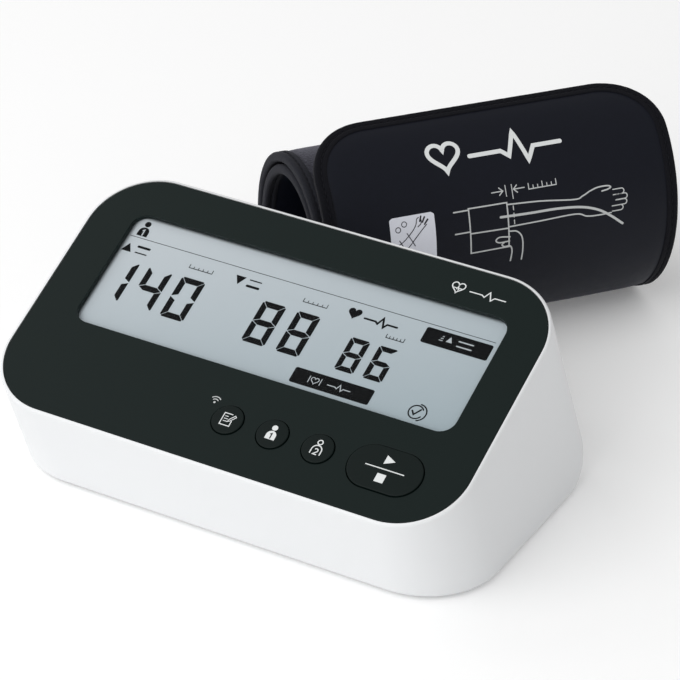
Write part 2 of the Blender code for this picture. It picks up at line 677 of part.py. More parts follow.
def make_air_system(body, steel, black, grey, rubber):
    level = motor_level()
    turn = (0.0, math.pi / 2, 0.0)
    motor = disc_mesh(MOTOR_RADIUS, -MOTOR_LENGTH / 2, MOTOR_LENGTH / 2, 24)
    make_piece("pump_motor", motor, steel, body, (PUMP_X, MOTOR_Y, level), (math.pi / 2, 0.0, 0.0))
    bottom = WALL + FIT
    head = box_mesh(PUMP_HEAD, (0.0, 0.0, bottom + PUMP_HEAD[2] / 2))
    head = make_piece("pump_head", head, black, body, (PUMP_X, PUMP_HEAD_Y, 0.0))
    outlet = disc_mesh(NIPPLE_RADIUS, 0.0, PUMP_HEAD[0] / 2 + NIPPLE_LENGTH, 12)
    out_z = bottom + PUMP_HEAD[2] - NIPPLE_RADIUS - 2.0
    place = (PUMP_X, PUMP_HEAD_Y, out_z)
    outlet = make_piece("pump_outlet", outlet, None, body, place, (0.0, -math.pi / 2, 0.0))
    boolean(head, outlet, "UNION")

    x, y = VALVE_CENTRE
    valve = box_mesh(VALVE_SIZE, (x, y, WALL + FIT + VALVE_SIZE[2] / 2))
    make_piece("exhaust_valve", valve, black, body)
    low = WALL + 2 * FIT + VALVE_SIZE[2]
    block = box_mesh(MANIFOLD_SIZE, (x, y, low + MANIFOLD_SIZE[2] / 2))
    manifold = make_piece("air_manifold", block, grey, body)
    reach = MANIFOLD_SIZE[0] / 2 + NIPPLE_LENGTH
    mid = low + MANIFOLD_SIZE[2] / 2
    ports = disc_mesh(NIPPLE_RADIUS, -reach, reach, 12)
    boolean(manifold, make_piece("manifold_ports", ports, None, body, (x, y, mid), turn), "UNION")
    top = low + MANIFOLD_SIZE[2] + NIPPLE_LENGTH
    port = disc_mesh(NIPPLE_RADIUS, mid, top, 12)
    boolean(manifold, make_piece("sensor_port", port, None, body, (x, y, 0.0)), "UNION")

    jack = [(0.0, -JACK_DEPTH), (JACK_BORE, -JACK_DEPTH), (JACK_BORE, 0.0), (JACK_RADIUS, 0.0)]
    back = -JACK_LENGTH
    jack += [(JACK_RADIUS, back), (NIPPLE_RADIUS, back), (NIPPLE_RADIUS, back - NIPPLE_LENGTH)]
    jack += [(0.0, back - NIPPLE_LENGTH)]
    place = (-WIDTH / 2 - 0.2, JACK_Y, AIR_LEVEL)
    make_piece("air_jack", turned_mesh(jack, 20), grey, body, place, (0.0, -math.pi / 2, 0.0))

    start = (place[0] + JACK_LENGTH + NIPPLE_LENGTH + FIT, JACK_Y, AIR_LEVEL)
    route = smooth_route(start, (1.0, 0.0, 0.0), (x - reach - FIT, y, mid), (1.0, 0.0, 0.0))
    tube_piece("jack_hose", route, HOSE_RADIUS, rubber, body)
    start = (x + reach + FIT, y, mid)
    end = (PUMP_X - PUMP_HEAD[0] / 2 - NIPPLE_LENGTH - FIT, PUMP_HEAD_Y, out_z)
    route = smooth_route(start, (1.0, 0.0, 0.0), end, (1.0, 0.0, 0.0), 14)
    tube_piece("pump_hose", route, HOSE_RADIUS, rubber, body)
    depth = BOARD_DEPTH + BOARD_THICKNESS + 2 * FIT + 4.0 + NIPPLE_LENGTH
    end = panel_point(*SENSOR_PLACE, -depth)
    up = panel_point(0.0, 0.0, 1.0) - panel_point(0.0, 0.0, 0.0)
    route = smooth_route((x, y, top + FIT), (0.0, 0.0, 1.0), end, up, 8)
    tube_piece("sensor_hose", route, NIPPLE_RADIUS + 0.6, rubber, body)


def make_power_socket(body, black):
    floor = -SOCKET_DEPTH
    profile = [(0.0, -1.0), (SOCKET_PIN, -1.0), (SOCKET_PIN, floor), (SOCKET_BORE, floor)]
    profile += [(SOCKET_BORE, 0.0), (SOCKET_RADIUS, 0.0), (SOCKET_RADIUS, -SOCKET_LENGTH)]
    profile += [(0.0, -SOCKET_LENGTH)]
    low = SOCKET_LEVEL - SOCKET_RADIUS
    place = (WIDTH / 2 - SOCKET_SIDE_MARGIN, rear_wall_y(low) + 0.3, SOCKET_LEVEL)
    socket = turned_mesh(profile, 16)
    make_piece("power_socket", socket, black, body, place, (-math.pi / 2, 0.0, 0.0))


# Cuff ------------------------------------------------------------------------


def spiral_radius(angle):
    """Outer radius of the roll. The angle runs from its front side over the top."""
    return CUFF_RADIUS + CUFF_PITCH * angle / (2 * math.pi)


def section_point(distance, depth):
    """A point of the rolled strip in its cross-section, on flat facets that every layer shares."""
    cell = math.floor((distance - FLAP_START) / STRIP_STEP + 1e-9)
    near = FLAP_START + cell * STRIP_STEP
    share = (distance - near) / STRIP_STEP
    here, there = curve_point(near, depth), curve_point(near + STRIP_STEP, depth)
    return tuple(a + (b - a) * share for a, b in zip(here, there))


def curve_point(distance, depth):
    """A point of the smooth section: across towards the front, and up.

    The distance is an angle up to FLAP_START, and past it FLAP_START plus the arc over the
    flap's own radius. The depth is measured inwards from the outer face.
    """
    radius = spiral_radius(min(distance, FLAP_START))
    if distance <= FLAP_START:
        reach = radius - depth
        return reach * math.cos(distance), reach * math.sin(distance)
    shift = radius - FLAP_RADIUS
    reach = FLAP_RADIUS - depth
    return (
        shift * math.cos(FLAP_START) + reach * math.cos(distance),
        shift * math.sin(FLAP_START) + reach * math.sin(distance),
    )


def strip_angles(start, end):
    """The ends of a stretch of the strip, and the facet edges between them."""
    first = math.floor((start - FLAP_START) / STRIP_STEP) + 1
    angles = [start]
    while FLAP_START + first * STRIP_STEP < end - 1e-6:
        if FLAP_START + first * STRIP_STEP > start + 1e-6:
            angles.append(FLAP_START + first * STRIP_STEP)
        first += 1
    return [*angles, end]


FLAP_END = FLAP_START + FLAP_LENGTH / FLAP_RADIUS
ROLL_END = FLAP_START - HINGE_GAP / CUFF_RADIUS
ROLL_START = FLAP_START - 2 * math.pi * CUFF_TURNS


def corner_inset(gap, corner):
    """How far a rounded end draws a long edge in, at this distance from the end."""
    if gap >= corner:
        return 0.0
    return corner - math.sqrt(max(0.0, corner**2 - (corner - gap) ** 2))


def strip_stations(start, end, radius, corner, rounded):
    """(angle, inset of the long edges) along the strip, denser where an end is rounded."""
    quarter = [math.pi / 2 * step / CORNER_STEPS for step in range(CORNER_STEPS + 1)]
    turns = [corner * (1.0 - math.cos(angle)) for angle in quarter]
    stations = []
    for angle in strip_angles(start, end):
        gap = (angle - start if rounded == "start" else end - angle) * radius
        if gap > corner * 1.02:
            stations.append((angle, 0.0))
    for gap in turns:
        angle = start + gap / radius if rounded == "start" else end - gap / radius
        stations.append((angle, corner_inset(gap, corner)))
    return sorted(stations)


def strip_mesh(stations, half_width, outer, inner):
    """A rolled sheet between two depths, as wide as its stations say."""
    rings = []
    for angle, inset in stations:
        half = half_width - inset
        (u, v), (p, q) = section_point(angle, outer), section_point(angle, inner)
        rings.append([(-half, u, v), (half, u, v), (half, p, q), (-half, p, q)])
    return bridged_mesh(rings)


def cuff_frame(mesh):
    """From (along the roll, towards the front, up) to the cuff's local axes."""
    bmesh.ops.transform(mesh, matrix=Matrix.Scale(-1.0, 4, (0.0, 1.0, 0.0)), verts=mesh.verts)
    bmesh.ops.reverse_faces(mesh, faces=mesh.faces)
    return mesh


def cuff_level():
    """Height of the roll's axis, with the lowest point of its outer face on the floor."""
    lowest = 0.0
    for step in range(721):
        angle = FLAP_START - 2 * math.pi * step / 720
        lowest = min(lowest, section_point(angle, 0.0)[1])
    return -lowest


def make_layer(name, span, depths, margin, material, parent, rounded=None):
    start, end = span
    corner = CUFF_CORNER - margin
    radius = FLAP_RADIUS if rounded == "end" else spiral_radius(start)
    edge = margin / radius
    start += edge if rounded == "start" else 0.0
    end -= edge if rounded == "end" else 0.0
    stations = strip_stations(start, end, radius, corner, rounded)
    mesh = strip_mesh(stations, CUFF_WIDTH / 2 - margin, *depths)
    return make_piece(name, cuff_frame(mesh), material, parent)


def make_binding(name, span, material, parent, rounded):
    """The edge tape: a rim along both long edges that runs round the rounded end."""
    start, end = span
    radius = FLAP_RADIUS if rounded == "end" else spiral_radius(start)
    inner_corner = CUFF_CORNER - BINDING_WIDTH
    outer = strip_stations(start, end, radius, CUFF_CORNER, rounded)
    edge = BINDING_WIDTH / radius
    begin = start + (edge if rounded == "start" else 0.0)
    finish = end - (edge if rounded == "end" else 0.0)
    inner = strip_stations(begin, finish, radius, inner_corner, rounded)
    half = CUFF_WIDTH / 2
    route = []
    for side in (-1, 1):
        pairs = list(zip(outer, inner))
        if rounded == "start":
            pairs = pairs[::-1]
        if side == 1:
            pairs = pairs[::-1]
        for (angle, inset), (near, narrow) in pairs:
            route.append((side * (half - inset), angle, side * (half - BINDING_WIDTH - narrow), near))
    rings = []
    for edge_at, angle, inside_at, near in route:
        (u, v), (p, q) = section_point(angle, 0.0), section_point(angle, CUFF_THICKNESS)
        (a, b), (c, d) = section_point(near, 0.0), section_point(near, CUFF_THICKNESS)
        rings.append([(edge_at, u, v), (edge_at, p, q), (inside_at, c, d), (inside_at, a, b)])
    return make_piece(name, cuff_frame(bridged_mesh(rings)), material, parent)


def make_cuff(root, navy, velour, tape, film, plastic):
    y = BASE_LENGTH / 2 + CUFF_BEHIND
    roll = make_empty("cuff_roll", root, (CUFF_CENTRE_X, y, cuff_level()), (0.0, 0.0, CUFF_YAW))
    margin = BINDING_WIDTH + FIT
    body = (ROLL_START, ROLL_END)
    layers = (
        ("roll_cover", FABRIC, velour, margin),
        ("bladder", BLADDER_THICKNESS, film, margin + BLADDER_MARGIN),
        ("curler_sheet", CURLER_THICKNESS, plastic, margin + CURLER_MARGIN),
        ("roll_lining", FABRIC, navy, margin),
    )
    depth = 0.0
    spare = (CUFF_THICKNESS - 2 * FABRIC - BLADDER_THICKNESS - CURLER_THICKNESS) / 3
    for name, thickness, material, inset in layers:
        span = body if inset == margin else (body[0], body[1] - 0.35)
        make_layer(name, span, (depth, depth + thickness), inset, material, roll, "start")
        depth += thickness + spare
    make_binding("roll_binding", body, tape, roll, "start")

    u, v = section_point(FLAP_START, 0.0)
    hinge = make_empty("flap_hinge", roll, (0.0, -u, v))
    span = (FLAP_START, FLAP_END)
    cover = (0.0, CUFF_THICKNESS / 2 - FIT / 2)
    patch = (CUFF_THICKNESS / 2 + FIT / 2, CUFF_THICKNESS)
    pieces = (
        make_layer("flap_cover", span, cover, margin, navy, hinge, "end"),
        make_layer("hook_patch", span, patch, margin, velour, hinge, "end"),
        make_binding("flap_binding", span, tape, hinge, "end"),
    )
    for piece in pieces:
        piece.data.transform(Matrix.Translation(Vector((0.0, u, -v)) * MM))

    angle = ROLL_START + math.radians(192.0)
    u, v = section_point(angle, CUFF_THICKNESS / 2)
    profile = [(0.0, 0.0), (PORT_RADIUS, 0.0), (PORT_RADIUS, 2.0), (PORT_BORE + 0.5, 2.0)]
    profile += [(PORT_BORE + 0.5, PORT_LENGTH), (PORT_BORE, PORT_LENGTH), (PORT_BORE, 3.0), (0.0, 3.0)]
    place = (CUFF_WIDTH / 2 + FIT, -u, v)
    port = turned_mesh(profile, 14)
    make_piece("tube_port", port, plastic, roll, place, (0.0, math.pi / 2, 0.0))


# Whole object ----------------------------------------------------------------


def centre_on_origin(roots):
    """Moves the object so that its bounding box stands on the origin."""
    bpy.context.view_layer.update()
    graph = bpy.context.evaluated_depsgraph_get()
    corners = []
    for piece in bpy.context.scene.objects:
        if piece.type == "EMPTY" or piece.hide_render:
            continue
        solid = piece.evaluated_get(graph)
        corners += [solid.matrix_world @ vert.co for vert in solid.to_mesh().vertices]
        solid.to_mesh_clear()
    lows = [min(point[axis] for point in corners) for axis in range(3)]
    highs = [max(point[axis] for point in corners) for axis in range(3)]
    shift = Vector(((lows[0] + highs[0]) / 2, (lows[1] + highs[1]) / 2, lows[2]))
    for root in roots:
        root.location -= shift
    bpy.context.view_layer.update()


def main():
    clear_scene()
    white = make_material("white_plastic", (0.86, 0.87, 0.88), 0.42)
    dark = make_material("dark_panel", (0.018, 0.026, 0.025), 0.3)
    clear = make_material("clear_window", (0.8, 0.85, 0.86), 0.05)
    display = make_material("display_grey", (0.46, 0.53, 0.56), 0.35)
    black = make_material("black_plastic", (0.02, 0.02, 0.02), 0.5)
    green = make_material("board_green", (0.02, 0.16, 0.06), 0.5)
    steel = make_material("steel", (0.62, 0.62, 0.64), 0.3, 1.0)
    rubber = make_material("rubber", (0.05, 0.05, 0.055), 0.75)
    jacket = make_material("cell_jacket", (0.12, 0.28, 0.16), 0.4)
    navy = make_material("satin_navy", (0.009, 0.010, 0.018), 0.6)
    velour = make_material("velour_charcoal", (0.035, 0.033, 0.045), 0.95)
    tape = make_material("binding_black", (0.012, 0.012, 0.013), 0.85)
    film = make_material("bladder_film", (0.55, 0.58, 0.62), 0.4)
    plastic = make_material("pale_plastic", (0.55, 0.56, 0.58), 0.5)

    root = make_empty("monitor_and_cuff")
    body = make_empty("monitor", root, (0.0, 0.0, FOOT_HEIGHT))
    panel = make_empty("panel_frame", body, PANEL_CENTRE, (PANEL_TILT, 0.0, 0.0))
    make_housing(body, white)
    make_base(body, white)
    make_feet_and_screws(body, rubber, steel)
    make_front(panel, dark, clear, display, white)
    make_buttons(panel, dark, black, steel)
    make_board(panel, green, black, steel)
    make_batteries(body, jacket, steel)
    make_cover(body, white)
    make_air_system(body, steel, black, plastic, rubber)
    make_power_socket(body, black)
    make_cuff(root, navy, velour, tape, film, plastic)
    centre_on_origin([root])


main()
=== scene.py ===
"""Surfaces, materials, stage and camera of a desktop blood pressure monitor and its rolled cuff.

Laid out as a Blender add-on and run as a script. Lengths are metres, and MM turns the
millimetres of a drawing into them. X is the width, +Y the rear and +Z up.
"""

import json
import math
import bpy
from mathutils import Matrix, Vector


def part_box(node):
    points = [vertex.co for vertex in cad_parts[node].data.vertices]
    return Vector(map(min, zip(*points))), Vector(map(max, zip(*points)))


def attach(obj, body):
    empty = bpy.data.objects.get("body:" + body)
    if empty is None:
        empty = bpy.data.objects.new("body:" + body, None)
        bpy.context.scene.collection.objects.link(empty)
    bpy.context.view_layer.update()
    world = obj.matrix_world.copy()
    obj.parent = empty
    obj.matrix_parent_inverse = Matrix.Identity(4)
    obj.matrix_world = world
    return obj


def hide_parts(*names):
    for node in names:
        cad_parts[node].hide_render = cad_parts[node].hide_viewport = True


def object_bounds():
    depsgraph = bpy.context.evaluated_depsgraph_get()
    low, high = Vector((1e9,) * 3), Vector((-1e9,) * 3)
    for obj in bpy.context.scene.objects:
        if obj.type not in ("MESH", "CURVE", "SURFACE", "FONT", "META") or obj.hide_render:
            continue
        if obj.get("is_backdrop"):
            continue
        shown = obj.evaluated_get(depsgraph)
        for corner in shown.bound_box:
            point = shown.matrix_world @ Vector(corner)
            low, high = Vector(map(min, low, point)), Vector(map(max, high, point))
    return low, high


bl_info = {
    "name": "Blood pressure monitor surfaces",
    "version": (1, 0, 0),
    "blender": (4, 5, 0),
    "location": "View3D > Sidebar > Monitor",
    "description": "Builds the housing, panel, display, buttons and cuff of a desktop monitor",
    "category": "Object",
}

import bmesh
import bpy
import numpy as np
from bpy.props import FloatProperty, FloatVectorProperty, IntProperty, PointerProperty
from bpy.types import Operator, Panel, PropertyGroup
from mathutils import Matrix

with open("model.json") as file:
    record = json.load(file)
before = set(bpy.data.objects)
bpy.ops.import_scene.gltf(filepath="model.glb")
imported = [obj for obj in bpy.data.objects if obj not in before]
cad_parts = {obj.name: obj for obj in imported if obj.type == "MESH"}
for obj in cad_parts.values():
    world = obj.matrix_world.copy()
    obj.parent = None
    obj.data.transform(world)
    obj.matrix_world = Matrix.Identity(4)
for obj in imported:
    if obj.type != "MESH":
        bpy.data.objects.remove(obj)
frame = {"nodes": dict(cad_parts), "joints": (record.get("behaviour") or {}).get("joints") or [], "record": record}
CAD_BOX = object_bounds()
MM = 0.001
UP = np.array((0.0, 0.0, 1.0))
FULL_TURN = 2 * math.pi
JOINTS = {joint["name"]: joint for joint in frame["joints"]}


def corners(node):
    """Lowest and highest corner of a node, as arrays in metres."""
    low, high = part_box(node)
    return np.array(low), np.array(high)


def middle(node):
    """Middle of a node's box."""
    low, high = corners(node)
    return (low + high) / 2


# Sizes and colours a user would change --------------------------------------


def length(name, description, millimetres):
    """A length property, given in millimetres."""
    return FloatProperty(
        name=name, description=description, default=millimetres * MM, unit="LENGTH", precision=5
    )


def angle(name, description, degrees):
    """An angle property, given in degrees."""
    return FloatProperty(
        name=name, description=description, default=math.radians(degrees), subtype="ANGLE"
    )


def colour(name, description, value):
    """A colour property of three linear channels."""
    return FloatVectorProperty(
        name=name, description=description, default=value, subtype="COLOR", min=0.0, max=1.0
    )


HOUSING_LOW, HOUSING_HIGH = corners("housing_shell")


class MonitorSizes(PropertyGroup):
    """Sizes of the monitor."""

    width: length("Width", "Overall width of the housing", 191.0)
    base_length: length("Base length", "Front to rear at the underside", 110.1)
    base_front_radius: length("Base front radius", "Corner of the underside at the front", 28.7)
    base_rear_radius: length("Base rear radius", "Corner of the underside at the rear", 10.8)
    edge_fillet: length("Edge fillet", "Rounding under the front and the sides", 1.9)
    rear_fillet: length("Rear fillet", "Rounding under the rear", 18.4)
    wall: length("Wall", "Thickness of the housing", 2.4)
    panel_length: length("Panel length", "Along the slope of the panel", 105.7)
    panel_inset: length("Panel inset", "From the side of the housing to the panel", 2.5)
    panel_corner: length("Panel corner", "Corner radius of the panel", 24.6)
    panel_tilt: angle("Panel tilt", "Slope of the panel", 25.9)
    panel_height: length("Panel height", "Front edge of the panel above the underside", 38.4)
    panel_overhang: length("Overhang", "Panel's front edge ahead of the base", 13.1)
    panel_thickness: length("Panel thickness", "Thickness of the dark panel", 2.0)
    rim_width: length("Rim width", "White rim round the panel", 1.5)
    rim_drop: length("Rim drop", "How far the rim rolls over", 1.2)
    gap: length("Gap", "Running gap between pieces", 0.3)
    window_corner: length("Window corner", "Corner radius of the display window", 5.9)
    button_rise: length("Button rise", "Height of the buttons above the panel", 0.5)
    button_crown: length("Button crown", "Doming of the buttons", 0.12)
    corner_steps: IntProperty(
        name="Corner steps", description="Facets of each rounded corner", default=24, min=4
    )


class CuffSizes(PropertyGroup):
    """Sizes of the rolled cuff."""

    width: length("Width", "Length of the roll along its axis", 145.0)
    radius: length("Radius", "Outer radius of the roll level with its axis", 40.6)
    pitch: length("Pitch", "Growth of the roll with each turn", 4.9)
    turns: FloatProperty(name="Turns", description="Turns of the roll", default=2.05)
    thickness: length("Thickness", "Outer face to lining", 4.2)
    corner: length("Corner", "Corner radius of the cuff's ends", 25.0)
    flap_start: angle("Flap start", "Where the flap leaves the roll", -48.0)
    flap_radius: length("Flap radius", "Bend of the standing flap", 48.8)
    flap_length: length("Flap length", "Along the arc of the flap", 104.5)
    hinge_gap: length("Hinge gap", "Between the roll and the flap", 0.4)
    binding: length("Binding", "Width of the edge tape", 4.8)
    seam: length("Seam", "Edge of the cuff to the stitches", 2.6)
    stitch: length("Stitch", "Spacing of the stitches", 2.9)
    puff: length("Puff", "How far the cloth rises above the tape's edge", 0.55)


class MonitorColours(PropertyGroup):
    """Colours, as linear values."""

    white: colour("White", "Housing", (0.73, 0.74, 0.75))
    panel: colour("Panel", "Front panel and buttons", (0.0026, 0.0080, 0.0072))
    print_white: colour("Print", "Symbols on the buttons", (0.72, 0.74, 0.74))
    # Painted shading: the display's grey is paler at the upper left and darker, cooler at the lower right, for the
    # fall of the light across its flat face.
    display: colour("Display", "Display, upper left", (0.57, 0.62, 0.655))
    display_shaded_low: colour("Display, low", "Display, lower right", (0.36, 0.44, 0.48))
    ink: colour("Ink", "Segments of the display", (0.002, 0.0025, 0.003))
    satin: colour("Satin", "Face of the flap", (0.0036, 0.0046, 0.0095))
    velour: colour("Velour", "Outer face of the roll", (0.034, 0.034, 0.045))
    tape: colour("Tape", "Edge tape", (0.0036, 0.0037, 0.0055))
    # Painted highlight: the roll's edge tape is the same tape as the flap's, given a paler copy of its colour for
    # the light caught by the roll's rounded edges.
    roll_tape: colour("Roll tape", "Edge tape of the roll, rubbed paler", (0.013, 0.0135, 0.0175))
    label: colour("Label", "Square label on the flap", (0.70, 0.715, 0.78))


def sizes():
    """The monitor's sizes, as set in the scene."""
    return bpy.context.scene.monitor_sizes


def cuff_sizes():
    """The cuff's sizes, as set in the scene."""
    return bpy.context.scene.cuff_sizes


def colours():
    """The colours, as set in the scene."""
    return bpy.context.scene.monitor_colours


# Surfaces -------------------------------------------------------------------


def quads(index):
    """Faces between the neighbours of a grid of point numbers."""
    corner = [index[:-1, :-1], index[:-1, 1:], index[1:, 1:], index[1:, :-1]]
    return np.stack(corner, -1).reshape(-1, 4).tolist()


def put(name, data):
    """A new object of the scene that holds the data."""
    thing = bpy.data.objects.new(name, data)
    bpy.context.scene.collection.objects.link(thing)
    return thing


def finished_mesh(thing):
    """The mesh of an object as its modifiers or its curve leave it."""
    bpy.context.view_layer.update()
    graph = bpy.context.evaluated_depsgraph_get()
    return bpy.data.meshes.new_from_object(thing.evaluated_get(graph))


def vertices(mesh):
    """Places of a mesh's points."""
    points = np.empty(len(mesh.vertices) * 3)
    mesh.vertices.foreach_get("co", points)
    return points.reshape(-1, 3)


class Surface:
    """Grids of points and flat faces gathered into one mesh."""

    def __init__(self):
        self.points = []
        self.faces = []
        self.map = []
        self.count = 0

    def _add(self, points, uv):
        points = np.asarray(points, float).reshape(-1, 3)
        self.points.append(points)
        self.map.append(np.zeros((len(points), 2)) if uv is None else np.reshape(uv, (-1, 2)))
        first = self.count
        self.count += len(points)
        return first

    def grid(self, points, wrap_rows=False, wrap_columns=False, cap=False, uv=None):
        """Quads between the neighbours of a (rows, columns, 3) grid, closed round where asked."""
        rows, columns = points.shape[:2]
        index = self._add(points, uv) + np.arange(rows * columns).reshape(rows, columns)
        if cap:
            self.faces.append(index[0, ::-1].tolist())
            self.faces.append(index[-1].tolist())
        if wrap_rows:
            index = np.vstack([index, index[:1]])
        if wrap_columns:
            index = np.hstack([index, index[:, :1]])
        self.faces += quads(index)

    def mesh(self, name, closed=True):
        """The gathered faces as one mesh with its own map."""
        mesh = bpy.data.meshes.new(name)
        mesh.from_pydata(np.concatenate(self.points).tolist(), [], self.faces)
        layer = mesh.uv_layers.new(name="UVMap")
        corner = np.empty(len(mesh.loops), np.int32)
        mesh.loops.foreach_get("vertex_index", corner)
        layer.data.foreach_set("uv", np.concatenate(self.map)[corner].astype(np.float32).ravel())
        tidy_mesh(mesh, closed)
        return mesh

    def build(self, name, look, body, replaces=(), crease=35.0, slot=None):
        """The finished piece, riding on its body."""
        return settle(self.mesh(name), name, look, body, replaces, crease, slot)


def tidy_mesh(mesh, closed):
    """Merges the points of poles and, on a closed shell, turns its faces outwards."""
    work = bmesh.new()
    work.from_mesh(mesh)
    bmesh.ops.remove_doubles(work, verts=work.verts, dist=1e-6)
    bmesh.ops.dissolve_degenerate(work, edges=work.edges, dist=1e-7)
    if closed:
        bmesh.ops.recalc_face_normals(work, faces=work.faces)
    work.to_mesh(mesh)
    work.free()


def settle(mesh, name, look, body, replaces=(), crease=35.0, slot=None):
    """An object for the mesh on its body, with a material.

    It is smooth up to the crease angle, or flat without one. The slot argument is not used.
    """
    slot = slot or look
    if crease:
        mesh.shade_smooth()
        mesh.set_sharp_from_angle(angle=math.radians(crease))
    else:
        mesh.shade_flat()
    mesh.materials.clear()
    mesh.materials.append(MATERIALS[look])
    piece = put(name, mesh)
    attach(piece, body)
    if replaces:
        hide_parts(*replaces)
    return piece


def bow(centre, radius, way):
    """Points of a circle at the given angles."""
    return np.stack([centre[0] + radius * np.cos(way), centre[1] + radius * np.sin(way)], -1)


def raised(outline, height):
    """An (x, y) outline as points at one height."""
    outline = np.asarray(outline, float)
    return np.concatenate([outline, np.full((*outline.shape[:-1], 1), height)], -1)


def rounded(half_x, half_y, front, rear, steps):
    """A rounded rectangle, anticlockwise from the rear right corner.

    Each corner is a quarter circle, and each straight side has points near its ends, so that
    smooth shading stays on the corner.
    """
    turn = np.linspace(0.0, math.pi / 2, steps + 1)
    quarters = ((1, 1, rear), (-1, 1, rear), (-1, -1, front), (1, -1, front))
    parts = []
    for quarter, (x, y, radius) in enumerate(quarters):
        centre = x * (half_x - radius), y * (half_y - radius)
        parts.append(bow(centre, radius, turn + quarter * math.pi / 2))
    share = np.array([0.012, 0.35, 0.65, 0.988])[:, None]
    outline = []
    for here, there in zip(parts, parts[1:] + parts[:1]):
        outline.append(here)
        outline.append(here[-1] + (there[0] - here[-1]) * share)
    return np.concatenate(outline)


def circle(radius, count, centre=(0.0, 0.0)):
    """Evenly spaced points round a whole circle."""
    return bow(centre, radius, np.linspace(0.0, FULL_TURN, count, endpoint=False))


def turned(profile, count=64):
    """A (radius, height) profile carried round Z, as a grid that wraps in its columns."""
    profile = np.asarray(profile, float)
    turn = np.linspace(0.0, FULL_TURN, count, endpoint=False)
    x = profile[:, :1] * np.cos(turn)
    y = profile[:, :1] * np.sin(turn)
    return np.stack([x, y, np.repeat(profile[:, 1:], count, 1)], -1)


def aimed(points, axis, place):
    """Points of a Z-up shape, with Z turned onto an axis and the origin moved to a place."""
    axis = np.asarray(axis, float) / np.linalg.norm(axis)
    level = (0.0, 1.0, 0.0) if abs(axis[1]) < 0.9 else (1.0, 0.0, 0.0)
    side = np.cross(level, axis)
    side /= np.linalg.norm(side)
    return points @ np.stack([side, np.cross(axis, side), axis]) + place


def arc(start, end, steps):
    """The cosines and sines of an arc between two angles in degrees."""
    way = np.radians(np.linspace(start, end, steps + 1))
    return np.cos(way), np.sin(way)


def ripple(a, b, reach, seed=0.0):
    """A smooth unevenness between -1 and 1: sines of several directions and lengths."""
    k = FULL_TURN / reach
    total = np.sin(a * k + 1.3 * np.sin(b * k * 0.7 + seed) + seed)
    total = total + np.sin(b * k * 1.27 - a * k * 0.61 + 2.1 * seed)
    total = total + 0.6 * np.sin(a * k * 1.93 + b * k * 1.7 + 0.7 + seed)
    return total / 2.6


# Shader building ------------------------------------------------------------


class Value:
    """A shader output whose Python operators add Math nodes."""

    def __init__(self, finish, socket):
        self.finish = finish
        self.socket = socket

    def _math(self, operation, *values):
        return self.finish.node("ShaderNodeMath", {"operation": operation}, dict(enumerate(values)))

    def __add__(self, other):
        return self._math("ADD", self, other)

    def __radd__(self, other):
        return self._math("ADD", other, self)

    def __sub__(self, other):
        return self._math("SUBTRACT", self, other)

    def __rsub__(self, other):
        return self._math("SUBTRACT", other, self)

    def __mul__(self, other):
        return self._math("MULTIPLY", self, other)

    def __rmul__(self, other):
        return self._math("MULTIPLY", other, self)

    def __truediv__(self, other):
        return self._math("DIVIDE", self, other)

    def sine(self):
        return self._math("SINE", self)

    def clipped(self):
        """Held between 0 and 1."""
        return self.finish.node("ShaderNodeClamp", {}, {0: self})

    def power(self, exponent):
        return self._math("POWER", self, exponent)


class Finish:
    """A material with one Principled shader and short ways to feed it."""

    def __init__(self, name, base, roughness, metallic=0.0, **fixed):
        self.material = bpy.data.materials.new(name)
        self.material.use_nodes = True
        self.tree = self.material.node_tree
        self.shader = self.tree.nodes["Principled BSDF"]
        self.base = (*base, 1.0)
        self.material.diffuse_color = self.base
        self.feed("Base Color", self.base)
        self.feed("Roughness", roughness)
        self.feed("Metallic", metallic)
        for key, value in fixed.items():
            self.feed(key.replace("_", " "), value)

    def _put(self, socket, value):
        if isinstance(value, Value):
            self.tree.links.new(value.socket, socket)
        else:
            socket.default_value = value

    def feed(self, name, value):
        """Sets or links one of the shader's own sockets."""
        self._put(self.shader.inputs[name], value)

    def node(self, kind, settings, inputs, output=0):
        """A node of a type with its settings, then its sockets' values or links."""
        node = self.tree.nodes.new(kind)
        for key, value in settings.items():
            setattr(node, key, value)
        for key, value in inputs.items():
            self._put(node.inputs[key], value)
        return Value(self, node.outputs[output])

    def place(self, scale=(1.0, 1.0, 1.0), rotation=(0.0, 0.0, 0.0), location=(0.0, 0.0, 0.0)):
        """Object coordinates, moved, turned and scaled."""
        where = self.node("ShaderNodeTexCoord", {}, {}, 3)
        inputs = {"Vector": where, "Location": location, "Rotation": rotation, "Scale": scale}
        return self.node("ShaderNodeMapping", {}, inputs)

    def cloth_map(self):
        """The two coordinates of the piece's own map, in metres along and across the cloth."""
        where = self.node("ShaderNodeTexCoord", {}, {}, 2)
        return where, self.axis(where, 0), self.axis(where, 1)

    def axis(self, vector, index):
        """One coordinate of a vector."""
        return self.node("ShaderNodeSeparateXYZ", {}, {0: vector}, index)

    def noise(self, vector, scale, detail=3.0, roughness=0.55):
        """Cloudy noise between 0 and 1, with so many clouds to the metre."""
        return self.node(
            "ShaderNodeTexNoise",
            {"noise_dimensions": "3D"},
            {"Vector": vector, "Scale": scale, "Detail": detail, "Roughness": roughness},
        )

    def cells(self, vector, scale):
        """Distance to the nearest of scattered points."""
        return self.node("ShaderNodeTexVoronoi", {}, {"Vector": vector, "Scale": scale})

    def mix(self, share, first, second):
        """A colour between two colours."""
        colours_in = {0: share, 6: with_alpha(first), 7: with_alpha(second)}
        return self.node("ShaderNodeMix", {"data_type": "RGBA"}, colours_in, 2)

    def bump(self, height, distance, strength=1.0, under=None):
        """A normal from a height, over another normal where one is given."""
        inputs = {"Strength": strength, "Distance": distance, "Height": height}
        if under is not None:
            inputs["Normal"] = under
        return self.node("ShaderNodeBump", {}, inputs)


def with_alpha(value):
    """A colour with its fourth channel; a shader output stays as it is."""
    return value if isinstance(value, Value) else (*value[:3], 1.0)


